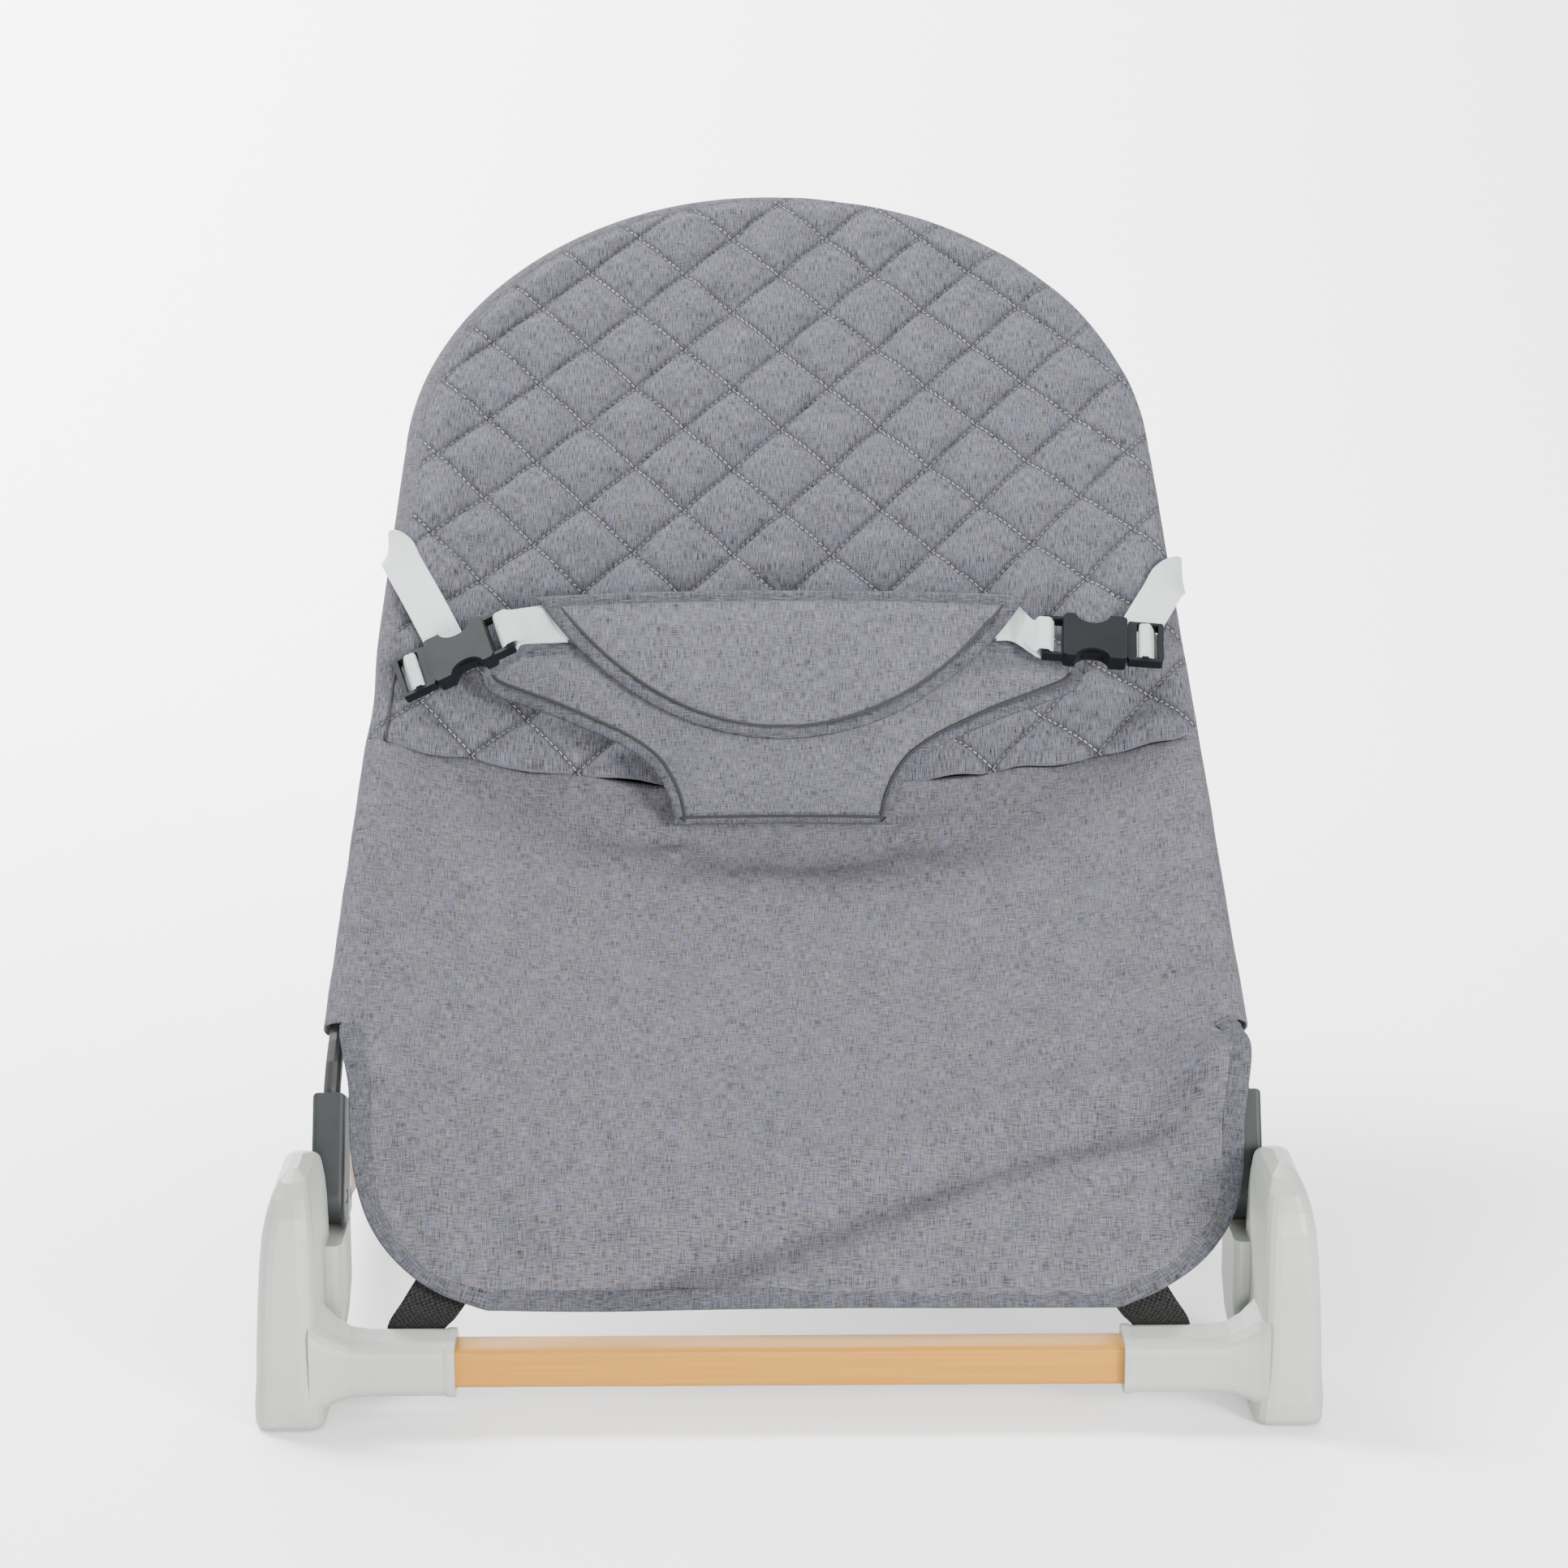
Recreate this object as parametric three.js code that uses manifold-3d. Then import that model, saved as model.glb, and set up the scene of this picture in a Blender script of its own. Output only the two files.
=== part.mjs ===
// Baby bouncer seat. A bent steel rod loop carries a quilted fabric sling and a waist harness.
// The loop's ends stand in two dark boots that turn on pins in the side brackets.
// The brackets, two side rails and two cross bars make the base.
// Millimetres. X runs across the seat, Y from the foot end to the head end, Z up.
import * as THREE from "three";
import { mergeVertices } from "three/addons/utils/BufferGeometryUtils.js";
import Module from "manifold-3d";

const wasm = await Module();
wasm.setup();

const DEG = Math.PI / 180;
const gap = 0.3; // between pieces that touch on the real product

// Base: square bars and the mouldings that hold them
const barSize = 18;
const barCorner = 2.5;
const barWall = 1.6;
const socketWall = 3.2;
const barGrip = 50; // how far a cross bar goes into its socket
const frontBar = { y: 18, z: 26 };
const armEndX = 147; // mouth of the socket of a cross bar, from the centre plane
const baseWidth = 470;
const footBase = 1; // mouldings stand this far up on their rubber pads
const bracketHeight = 114;
const railAxisX = baseWidth / 2 - 20;
const railSlope = 10.4 * DEG;
const railStart = { y: 104, z: 71.5 };
const railLength = 316;
const collar = 12.5; // how far the bracket reaches over the rail
const railGrip = 40; // spigot inside the rail, and socket at the rear
const rearBarDrop = { y: 18, z: 3 }; // from the rail's rear end to the rear bar's axis
const footPad = { width: 22, depth: 46, thick: 2.6 };
const rearPadDepth = 30;
const screw = { headRadius: 3.4, headDepth: 1.8, shankRadius: 1.7, length: 7 };

// Recline pivot and boots
const pivotY = 76;
const pivotZ = 82;
const pinRadius = 3;
const pinGap = 0.35;
const pinHeadRadius = 8;
const pinHeadDepth = 3;
const bootWidth = 15;
const bootFootRadius = 12.5;
const bootTopDepth = 25;
const bootLength = 46; // above the pivot
const bootLean = -24 * DEG; // forwards of upright, so the boot leans back
const bootBevel = 2.4;

// Seat loop
const rodDiameter = 8;
const rodHalfSpan = baseWidth / 2 - 27.5; // rod axis from the centre plane, at the boots
const rodBend = 40; // radius of the bend above the boot
const rodStraight = 49.4; // from the pivot to the bend
const eyeRadius = 7.2;
const eyeWidth = rodDiameter + 0.4;
const seatAngle = 38.4 * DEG;
const seatTaper = 2.8 * DEG; // each side leans in towards the head
const loopTop = 559; // along the slope, from the end of the bend to the rod axis at the head
const swingBack = 6 * DEG; // how far the rod may spring back and forwards inside the boot
const swingForward = 3 * DEG;

// Soft goods
const sagDepth = 31;
const sagCentre = 150;
const sagSpread = 190;
const seamAt = 176; // along the slope, where the quilted panel meets the plain one
const quiltThick = 9;
const plainThick = 3;
const meshThick = 1.5;
const coverGap = 0.6;
const hem = { y: 28, z: 47, halfWidth: 148, cornerStart: 0.62 };
const flapHalfWidth = rodHalfSpan - 10;
const flapLead = 50; // how far the flap keeps the slope's direction
const pad = {
  s: [146, 165, 248], // control points of its middle line, up the slope
  h: [-23, 14, 29], // and off the plane of the rods
  end: 0.84, // share of that line where the pad ends, under the flap
  neckHalf: 52, wingHalf: 146, wingDrop: 10, thick: 5,
};
const lens = { start: 0.46, topHalf: 121, thick: 5 };
const webbing = { width: 20, thick: 1.6 };
const strapTop = 296; // along the slope, where the side straps go over the rod
const tether = { width: 25, thick: 1.6 };

// Side-release buckles, each in its own frame: along the strap, across it, and up from the seat
const buckle = {
  length: 60, width: webbing.width + 7, thick: 9,
  barEnd: 10.5, bodyEnd: 42, // along the strap, from the near end
  // the bars that the webbing goes round
  bar: 2.6, slot: webbing.width + 1.2, frameWidth: webbing.width + 4.6, frameThick: 5.4,
  cavityHalf: 9.6, cavityThick: 4.6,
  windowAt: 25, windowHalf: 8.5, windowDepth: 6,
  tongueHalf: 2.4, prongThick: 3.6, prongTip: 17, prongInner: 5.6,
};
const buckleClear = 0.35;
const bucklePlace = {
  right: { x: 128, s: 222, h: 27.5, tilt: -4 * DEG, yaw: 2 * DEG },
  left: { x: -134, s: 222, h: 34, tilt: 17 * DEG, yaw: 19 * DEG },
};

const looks = {
  bracket: { color: 0xc7c8c4, roughness: 0.42 },
  boot: { color: 0x3c3f42, roughness: 0.5 },
  wood: { color: 0xd4b283, roughness: 0.45 },
  steel: { color: 0x3a3b3d, roughness: 0.4, metalness: 0.6 },
  rubber: { color: 0x8d8f8c, roughness: 0.9 },
  fastener: { color: 0x9a9c9e, roughness: 0.3, metalness: 0.9 },
  fabric: { color: 0x83848a, roughness: 0.95 },
  mesh: { color: 0x1b1b1d, roughness: 0.95 },
  strap: { color: 0xd5d8d6, roughness: 0.6 },
  buckle: { color: 0x37393b, roughness: 0.4 },
  tether: { color: 0x161616, roughness: 0.95 },
};

// ---- solids ----

function solid(geometry) {
  const plain = geometry.index ? geometry.toNonIndexed() : geometry.clone();
  for (const name of Object.keys(plain.attributes)) {
    if (name !== "position") plain.deleteAttribute(name);
  }
  const merged = mergeVertices(plain, 1e-3);
  return new wasm.Manifold(
    new wasm.Mesh({
      numProp: 3,
      vertProperties: merged.attributes.position.array,
      triVerts: new Uint32Array(merged.index.array),
    }),
  );
}

function geometryOf(made) {
  const mesh = made.getMesh();
  const points = new Float32Array(mesh.numVert * 3);
  for (let i = 0; i < mesh.numVert; i++)
    points.set(mesh.vertProperties.subarray(i * mesh.numProp, i * mesh.numProp + 3), i * 3);
  return new THREE.BufferGeometry()
    .setAttribute("position", new THREE.BufferAttribute(points, 3))
    .setIndex(new THREE.BufferAttribute(new Uint32Array(mesh.triVerts), 1));
}

const union = (...solids) => solids.reduce((a, b) => a.add(b));
const less = (from, ...cuts) => cuts.reduce((a, b) => a.subtract(b), from);

// A box by its lowest and highest corner.
function block(low, high) {
  const size = high.map((v, i) => v - low[i]);
  return solid(
    new THREE.BoxGeometry(...size).translate(...low.map((v, i) => v + size[i] / 2)),
  );
}

// A cylinder along X, from one X to another.
function rod(fromX, toX, y, z, radius, sides = 32) {
  return solid(
    new THREE.CylinderGeometry(radius, radius, toX - fromX, sides)
      .rotateZ(Math.PI / 2)
      .translate((fromX + toX) / 2, y, z),
  );
}

function roundedSquare(size, corner) {
  const half = size / 2;
  const shape = new THREE.Shape();
  shape.moveTo(-half + corner, -half);
  shape.lineTo(half - corner, -half);
  shape.absarc(half - corner, -half + corner, corner, -Math.PI / 2, 0);
  shape.lineTo(half, half - corner);
  shape.absarc(half - corner, half - corner, corner, 0, Math.PI / 2);
  shape.lineTo(-half + corner, half);
  shape.absarc(-half + corner, half - corner, corner, Math.PI / 2, Math.PI);
  shape.lineTo(-half, -half + corner);
  shape.absarc(-half + corner, -half + corner, corner, Math.PI, Math.PI * 1.5);
  return shape;
}

const flat = { bevelEnabled: false, curveSegments: 5 };

// A bar along X with its axis through (y, z). With a wall it is a tube.
function barAlongX(fromX, toX, y, z, size, corner, wall = 0) {
  const shape = roundedSquare(size, corner);
  if (wall) shape.holes.push(roundedSquare(size - 2 * wall, corner - wall / 2));
  return new THREE.ExtrudeGeometry(shape, { ...flat, depth: toX - fromX })
    .rotateY(Math.PI / 2)
    .translate(fromX, y, z);
}

// A side outline in (y, z), extruded along X.
function alongX(shape, fromX, toX, options = flat) {
  const toSide = new THREE.Matrix4().makeBasis(
    new THREE.Vector3(0, 1, 0), new THREE.Vector3(0, 0, 1), new THREE.Vector3(1, 0, 0),
  );
  return new THREE.ExtrudeGeometry(shape, { ...options, depth: toX - fromX })
    .applyMatrix4(toSide)
    .translate(fromX, 0, 0);
}

// A closed sheet of a given thickness around the surface at(a, b), a and b from 0 to 1.
function sheet(at, across, along, thick) {
  const grid = [];
  const step = 1e-3;
  for (let j = 0; j <= along; j++) {
    for (let i = 0; i <= across; i++) {
      const a = i / across;
      const b = j / along;
      const a0 = Math.max(a - step, 0);
      const b0 = Math.max(b - step, 0);
      const da = at(Math.min(a + step, 1), b).sub(at(a0, b));
      const db = at(a, Math.min(b + step, 1)).sub(at(a, b0));
      const normal = da.cross(db).normalize();
      grid.push({ point: at(a, b), normal });
    }
  }
  const positions = [];
  for (const side of [0.5, -0.5]) {
    for (const { point, normal } of grid)
      positions.push(...point.clone().addScaledVector(normal, side * thick));
  }
  const row = across + 1;
  const under = grid.length;
  const faces = [];
  const quad = (p, q, r, s) => faces.push(p, q, r, p, r, s);
  for (let j = 0; j < along; j++) {
    for (let i = 0; i < across; i++) {
      const p = j * row + i;
      quad(p, p + 1, p + row + 1, p + row);
      quad(under + p, under + p + row, under + p + row + 1, under + p + 1);
    }
  }
  for (let i = 0; i < across; i++) {
    const last = along * row + i;
    quad(i, under + i, under + i + 1, i + 1);
    quad(last, last + 1, under + last + 1, under + last);
  }
  for (let j = 0; j < along; j++) {
    const p = j * row;
    const q = p + across;
    quad(p, p + row, under + p + row, under + p);
    quad(q, under + q, under + q + row, q + row);
  }
  return new THREE.BufferGeometry()
    .setAttribute("position", new THREE.BufferAttribute(new Float32Array(positions), 3))
    .setIndex(faces);
}

// A strap through sections, each a point and the direction across the strap there.
function ribbon(sections, width, thick) {
  const at = (a, b) => {
    const place = b * (sections.length - 1);
    const k = Math.min(Math.floor(place), sections.length - 2);
    const share = place - k;
    const point = sections[k].point.clone().lerp(sections[k + 1].point, share);
    const across = sections[k].across.clone().lerp(sections[k + 1].across, share).normalize();
    return point.addScaledVector(across, (a - 0.5) * width);
  };
  return sheet(at, 1, sections.length - 1, thick);
}

// ---- seat geometry ----

const rodRadius = rodDiameter / 2;
const bendStart = {
  y: pivotY - rodStraight * Math.sin(bootLean),
  z: pivotZ + rodStraight * Math.cos(bootLean),
};
const bendTurn = Math.PI / 2 - seatAngle + bootLean;
const bendCentre = {
  y: bendStart.y + rodBend * Math.cos(bootLean),
  z: bendStart.z + rodBend * Math.sin(bootLean),
};
const slopeStart = {
  y: bendCentre.y - rodBend * Math.sin(seatAngle),
  z: bendCentre.z + rodBend * Math.cos(seatAngle),
};
const slopeHalfSpan = rodHalfSpan - Math.tan(seatTaper) * rodBend * bendTurn;
const headCentre = (loopTop - slopeHalfSpan * Math.cos(seatTaper)) / (1 - Math.sin(seatTaper));
const headRadius = loopTop - headCentre;
const tangentAt = headCentre + headRadius * Math.sin(seatTaper);

// A point of the seat: x across, s up the slope, h above the plane of the rods.
function onSeat(x, s, h = 0) {
  return new THREE.Vector3(
    x,
    slopeStart.y + s * Math.cos(seatAngle) - h * Math.sin(seatAngle),
    slopeStart.z + s * Math.sin(seatAngle) + h * Math.cos(seatAngle),
  );
}
const slopeUp = new THREE.Vector3(0, Math.cos(seatAngle), Math.sin(seatAngle));
const slopeNormal = new THREE.Vector3(0, -Math.sin(seatAngle), Math.cos(seatAngle));
const acrossSeat = new THREE.Vector3(1, 0, 0);

// Half the distance between the rod axes at s.
function rodAt(s) {
  return s < tangentAt
    ? slopeHalfSpan - Math.tan(seatTaper) * s
    : Math.sqrt(Math.max(headRadius ** 2 - (s - headCentre) ** 2, 0));
}

// Half the clear width inside the rods, where a cover panel ends.
function insideAt(s) {
  const inner = headRadius - rodRadius - coverGap;
  return s < tangentAt
    ? rodAt(s) - rodRadius - coverGap
    : Math.sqrt(Math.max(inner ** 2 - (s - headCentre) ** 2, 0));
}
const sagAt = (s) => sagDepth * Math.exp(-(((s - sagCentre) / sagSpread) ** 2));
const hollow = (share) => 1 - Math.abs(share) ** 2.2;
const fabricAt = (x, s) => -sagAt(s) * hollow(Math.min(Math.abs(x) / insideAt(s), 1));

// ---- base ----

const socketSize = barSize + 2 * gap;
const socketOuter = socketSize + 2 * socketWall;
const socketHalf = socketOuter / 2;
const socketCorner = barCorner + socketWall;
const footWidth = 31;
const columnOuter = baseWidth / 2 - 3;
const columnInner = baseWidth / 2 - footWidth + 3;
const bootInner = rodHalfSpan - bootWidth / 2;
const bootOuter = rodHalfSpan + bootWidth / 2;
const postTop = pivotZ - bootFootRadius - 0.8;
const railDirection = new THREE.Vector3(0, Math.cos(railSlope), -Math.sin(railSlope));
const railUp = new THREE.Vector3(0, Math.sin(railSlope), Math.cos(railSlope));
const alongRail = (distance) =>
  new THREE.Vector3(railAxisX, railStart.y, railStart.z).addScaledVector(railDirection, distance);
const railEnd = alongRail(railLength);
const rearBar = { y: railEnd.y + rearBarDrop.y, z: railEnd.z + rearBarDrop.z };

// The outline of a rounded rectangle, anticlockwise, from its ranges in its two directions.
function ring([fromU, toU], [fromV, toV], corner, perCorner = 4) {
  const points = [];
  const centres = [
    [toU - corner, toV - corner], [fromU + corner, toV - corner], [fromU + corner, fromV + corner],
    [toU - corner, fromV + corner],
  ];
  centres.forEach(([u, v], quarter) => {
    for (let k = 0; k <= perCorner; k++) {
      const angle = (quarter + k / perCorner) * (Math.PI / 2);
      points.push([u + corner * Math.cos(angle), v + corner * Math.sin(angle)]);
    }
  });
  return points;
}

// A closed body through rings of equal length, each with a function that puts its points in place.
function loft(rings) {
  const count = rings[0].length;
  const positions = rings.flat().flatMap((p) => [p.x, p.y, p.z]);
  const faces = [];
  for (let k = 0; k < rings.length - 1; k++) {
    for (let i = 0; i < count; i++) {
      const a = k * count + i;
      const b = k * count + ((i + 1) % count);
      faces.push(a, b, b + count, a, b + count, a + count);
    }
  }
  for (const [start, flip] of [[0, true], [(rings.length - 1) * count, false]]) {
    const own = positions.slice(start * 3, (start + count) * 3);
    const centre = positions.length / 3;
    for (let axis = 0; axis < 3; axis++)
      positions.push(own.reduce((sum, v, i) => (i % 3 === axis ? sum + v : sum), 0) / count);
    for (let i = 0; i < count; i++) {
      const a = start + i;
      const b = start + ((i + 1) % count);
      faces.push(...(flip ? [centre, b, a] : [centre, a, b]));
    }
  }
  return solid(
    new THREE.BufferGeometry()
      .setAttribute("position", new THREE.BufferAttribute(new Float32Array(positions), 3))
      .setIndex(faces),
  );
}

// Rings across Z, across X and across the rail.
const levelRing = (z, x, y, corner) => ring(x, y, corner).map(([u, v]) => new THREE.Vector3(u, v, z));
const sideRing = (x, y, z, corner) => ring(y, z, corner).map(([u, v]) => new THREE.Vector3(x, u, v));
function railRing(distance, x, up, corner) {
  const centre = alongRail(distance);
  return ring(x, up, corner).map(([u, v]) =>
    new THREE.Vector3(u, centre.y, centre.z).addScaledVector(railUp, v),
  ).reverse();
}
const around = (centre, half) => [centre - half, centre + half];

// A square prism along the rail, from one distance to another. With a wall it is a tube.
function alongRailBar(from, to, size, corner, wall = 0) {
  const prism = (start, end, half, round) =>
    loft([start, end].map((at) => railRing(at, around(railAxisX, half), around(0, half), round)));
  const outside = prism(from, to, size / 2, corner);
  return wall ? less(outside, prism(from - 1, to + 1, size / 2 - wall, corner - wall / 2)) : outside;
}

// The screw through a socket's wall into its bar. It points along `into`, from the head.
function screwSolid(at, into, grow = 0) {
  const { headRadius, headDepth, shankRadius, length } = screw;
  const profile = [
    [0, 0],
    [headRadius + grow, 0],
    [headRadius + grow, headDepth + grow],
    [shankRadius + grow, headDepth + grow],
    [shankRadius + grow, length + grow],
    [0, length + grow],
  ].map(([r, y]) => new THREE.Vector2(r, y));
  const turn = new THREE.Quaternion().setFromUnitVectors(new THREE.Vector3(0, 1, 0), into);
  return new THREE.LatheGeometry(profile, 16).applyQuaternion(turn).translate(...at);
}

// The same hole, run on outwards so that it opens through the moulding's skin.
function screwHole({ at, into }, out = 8) {
  const wide = screw.headRadius + gap;
  const turn = new THREE.Quaternion().setFromUnitVectors(new THREE.Vector3(0, 1, 0), into);
  const mouth = new THREE.CylinderGeometry(wide, wide, out, 16).translate(0, -out / 2 + 0.1, 0);
  return union(
    solid(screwSolid(at, into, gap)),
    solid(mouth.applyQuaternion(turn).translate(...at)),
  );
}

const back = new THREE.Vector3(0, 1, 0);
const front = back.clone().negate();
const outwards = new THREE.Vector3(1, 0, 0);
const sunk = 0.6; // screw heads sit just below the skin
const railSide = new THREE.Vector3(-socketHalf + sunk, 0, 0);
const screws = {
  front_bar: {
    at: new THREE.Vector3(armEndX + barGrip / 2, frontBar.y + socketHalf - sunk, frontBar.z), into: front,
  },
  rear_bar: {
    at: new THREE.Vector3(armEndX + barGrip / 2, rearBar.y - socketHalf + sunk, rearBar.z), into: back,
  },
  rail_front: { at: alongRail(collar / 2).add(railSide), into: outwards },
  rail_rear: { at: alongRail(railLength - railGrip / 2).add(railSide), into: outwards },
};

// A rubber pad under a foot, and the recess that it sits in.
function padBlock(y, depth, bottom = 0, clear = 0) {
  const x = (baseWidth - footWidth) / 2;
  const halfWidth = footPad.width / 2 + clear;
  const halfDepth = depth / 2 + clear;
  return block(
    [x - halfWidth, y - halfDepth, bottom],
    [x + halfWidth, y + halfDepth, footPad.thick + clear],
  );
}
const padRecess = (y, depth) => padBlock(y, depth, -1, gap);
const frontPadY = 36;
const rearPadY = rearBar.y - 4;

// The leg as level sections: height, range across, range front to back, corner radius.
function legSolid() {
  const foot = baseWidth / 2;
  const sections = [
    [footBase, [foot - 30, foot - 1], [2, 70], 7],
    [footBase + 2.5, [foot - 31, foot], [0.4, 71.6], 8],
    [12, [foot - 30.6, foot], [0, 72], 8],
    [24, [foot - 29, foot - 1], [0.8, 72], 8],
    [40, [columnInner, columnOuter + 1.4], [1.8, 73], 7],
    [58, [columnInner, columnOuter + 0.4], [2.8, 80], 7],
    [74, [columnInner, columnOuter - 0.6], [4, 96], 7],
    [88, [columnInner + 0.3, columnOuter - 2], [5.6, 98], 7],
    [97, [columnInner + 1, columnOuter - 3.8], [8, 86], 7],
    [104, [columnInner + 2.2, columnOuter - 6], [11.5, 74], 6.5],
    [110, [columnInner + 4, columnOuter - 9], [17.5, 60], 5.5],
    [bracketHeight, [columnInner + 8, columnOuter - 13], [26, 46], 1.9],
  ];
  return loft(sections.map((section) => levelRing(...section)));
}

// The arm as side sections, swelling where it runs into the leg.
function armSolid(x0, x1, axis, swell) {
  const reach = x1 - x0;
  const sections = [0, 0.05, 0.08, 0.6, 0.74, 0.85, 0.93, 1].map((share, k) => {
    const rim = k < 2 ? 0.5 : 0;
    const grow = swell * Math.max((share - 0.6) / 0.4, 0) ** 2.4;
    return sideRing(
      x0 + reach * share,
      [axis.y - socketHalf - rim - grow * 0.35, axis.y + socketHalf + rim + grow],
      [axis.z - socketHalf - rim - grow * 0.75, axis.z + socketHalf + rim + grow],
      socketCorner + grow * 0.3,
    );
  });
  return loft(sections);
}

// The hole for a cross bar in its socket.
function barSocket(axis) {
  const end = armEndX + barGrip + gap;
  return solid(barAlongX(armEndX - 1, end, axis.y, axis.z, socketSize, barCorner + gap));
}

function bracket() {
  const arm = armSolid(armEndX, columnInner + 3, frontBar, 13);
  const holder = loft([
    railRing(-34, [columnInner, columnOuter - 1], [-16, 17], 6),
    railRing(-16, [columnInner - 3, columnOuter - 2.4], [-14, 15], 6),
    railRing(0, around(railAxisX, socketHalf + 0.4), around(0, socketHalf + 0.6), socketCorner),
    railRing(collar, around(railAxisX, socketHalf), around(0, socketHalf), socketCorner),
  ]);
  const post = loft([
    [8, [bootInner + 4, columnInner + 6], [44, 71]],
    [24, [bootInner + 1.5, columnInner + 6], [46, 88]],
    [40, [bootInner, columnInner + 6], [47, 90]],
    [postTop, [bootInner, columnInner + 9], [48, 91]],
  ].map(([z, x, y]) => levelRing(z, x, y, 4)));
  const shell = union(legSolid(), arm, holder, post);
  const roomOuter = bootOuter + 0.8;
  const clear = bracketHeight + 20;
  const bootRoom = union(
    block([bootInner - 8, pivotY - bootFootRadius - 1, postTop], [roomOuter, railStart.y - 5, clear]),
    block([bootInner - 8, pivotY, railStart.z + 16], [roomOuter, pivotY + 60, clear]),
  );
  const spigot = alongRailBar(-2, railGrip, barSize - 2 * barWall - 2 * gap, 1.2);
  const railHole = less(alongRailBar(-gap, railGrip + 20, socketSize, barCorner + gap), spigot);
  const core = block(
    [baseWidth / 2 - 23, frontPadY - 20, -1], [baseWidth / 2 - 8, frontPadY + 20, postTop - 8],
  );
  const capInner = columnOuter - pinHeadDepth - 1.6;
  const pinHole = rod(bootInner - 10, columnOuter - 5, pivotY, pivotZ, pinRadius + gap);
  const capRoom = rod(capInner, baseWidth / 2 + 5, pivotY, pivotZ, pinHeadRadius + gap);
  return less(
    union(less(shell, bootRoom, railHole), spigot),
    barSocket(frontBar), pinHole, capRoom, padRecess(frontPadY, footPad.depth), core,
    screwHole(screws.front_bar), screwHole(screws.rail_front, 16),
  );
}

function rearFoot() {
  const reach = alongRail(railLength - railGrip);
  const shape = new THREE.Shape();
  const high = rearBar.z + socketHalf;
  const rear = rearBar.y + socketHalf;
  shape.moveTo(reach.y + 6, footBase + 2);
  shape.lineTo(rear - 4, footBase + 2);
  shape.quadraticCurveTo(rear - 2, footBase + 2, rear - 2, footBase + 6);
  shape.lineTo(rear - 2, high - 8);
  shape.quadraticCurveTo(rear - 2, high - 2, rear - 8, high - 2);
  shape.lineTo(rearBar.y - socketHalf, high - 2);
  shape.lineTo(reach.y, reach.z + socketHalf - 1);
  shape.lineTo(reach.y, reach.z - socketHalf + 3);
  const half = socketHalf - 2;
  const corner = solid(alongX(shape, railAxisX - half, railAxisX + half, {
    bevelEnabled: true, bevelSize: 2, bevelThickness: 2, bevelSegments: 3, curveSegments: 5,
  }));
  const arm = armSolid(armEndX, railAxisX - 8, rearBar, 4);
  const below = block([0, 0, -20], [baseWidth, rearBar.y + 60, footBase]);
  const railMouth = railLength - railGrip - 20;
  const railHole = alongRailBar(railMouth, railLength + gap, socketSize, barCorner + gap);
  return less(
    union(corner, arm), below, barSocket(rearBar), railHole, padRecess(rearPadY, rearPadDepth),
    screwHole(screws.rear_bar), screwHole(screws.rail_rear, 14),
  );
}

function crossBar(axis, hole) {
  const reach = armEndX + barGrip;
  const tube = solid(barAlongX(-reach, reach, axis.y, axis.z, barSize, barCorner, barWall));
  const mirrored = { at: hole.at.clone().setX(-hole.at.x), into: hole.into };
  return less(tube, screwHole(hole), screwHole(mirrored));
}

function rail() {
  const tube = alongRailBar(0, railLength, barSize, barCorner, barWall);
  return less(tube, screwHole(screws.rail_front), screwHole(screws.rail_rear));
}

function pivotPin() {
  return rod(bootInner + 0.4, columnOuter - pinHeadDepth - 2, pivotY, pivotZ, pinRadius);
}

function pivotCap() {
  const outer = columnOuter - 1.4;
  return rod(outer - pinHeadDepth + 0.2, outer, pivotY, pivotZ, pinHeadRadius);
}

// ---- boots and loop ----

// The boot in its own frame: the pivot at the origin, the rod along +Z.
function bootSolid() {
  const r = bootFootRadius - bootBevel;
  const half = bootTopDepth / 2 - bootBevel;
  const shape = new THREE.Shape();
  shape.absarc(0, 0, r, Math.PI, 2 * Math.PI, false);
  shape.lineTo(half, bootLength - bootBevel);
  shape.lineTo(-half, bootLength - bootBevel);
  shape.closePath();
  const core = bootWidth - 2 * bootBevel;
  const shell = solid(
    alongX(shape, -core / 2, core / 2, {
      bevelEnabled: true, bevelSize: bootBevel, bevelThickness: bootBevel, bevelSegments: 3,
      curveSegments: 16,
    }),
  );
  const room = new THREE.Shape();
  const clear = 0.6;
  const side = rodRadius + clear;
  const mouth = bootLength + 2;
  room.moveTo(-side, -2);
  room.lineTo(side, -2);
  room.lineTo(side + mouth * Math.tan(swingBack), mouth);
  room.lineTo(-side - mouth * Math.tan(swingForward), mouth);
  room.closePath();
  const slotHalf = rodRadius + clear;
  const slot = solid(alongX(room, -slotHalf, slotHalf));
  const eyeRoom = rod(-slotHalf, slotHalf, 0, 0, eyeRadius + clear);
  const pinRoom = rod(-bootWidth, bootWidth, 0, 0, pinRadius + pinGap);
  return less(shell, slot, eyeRoom, pinRoom);
}

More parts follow.
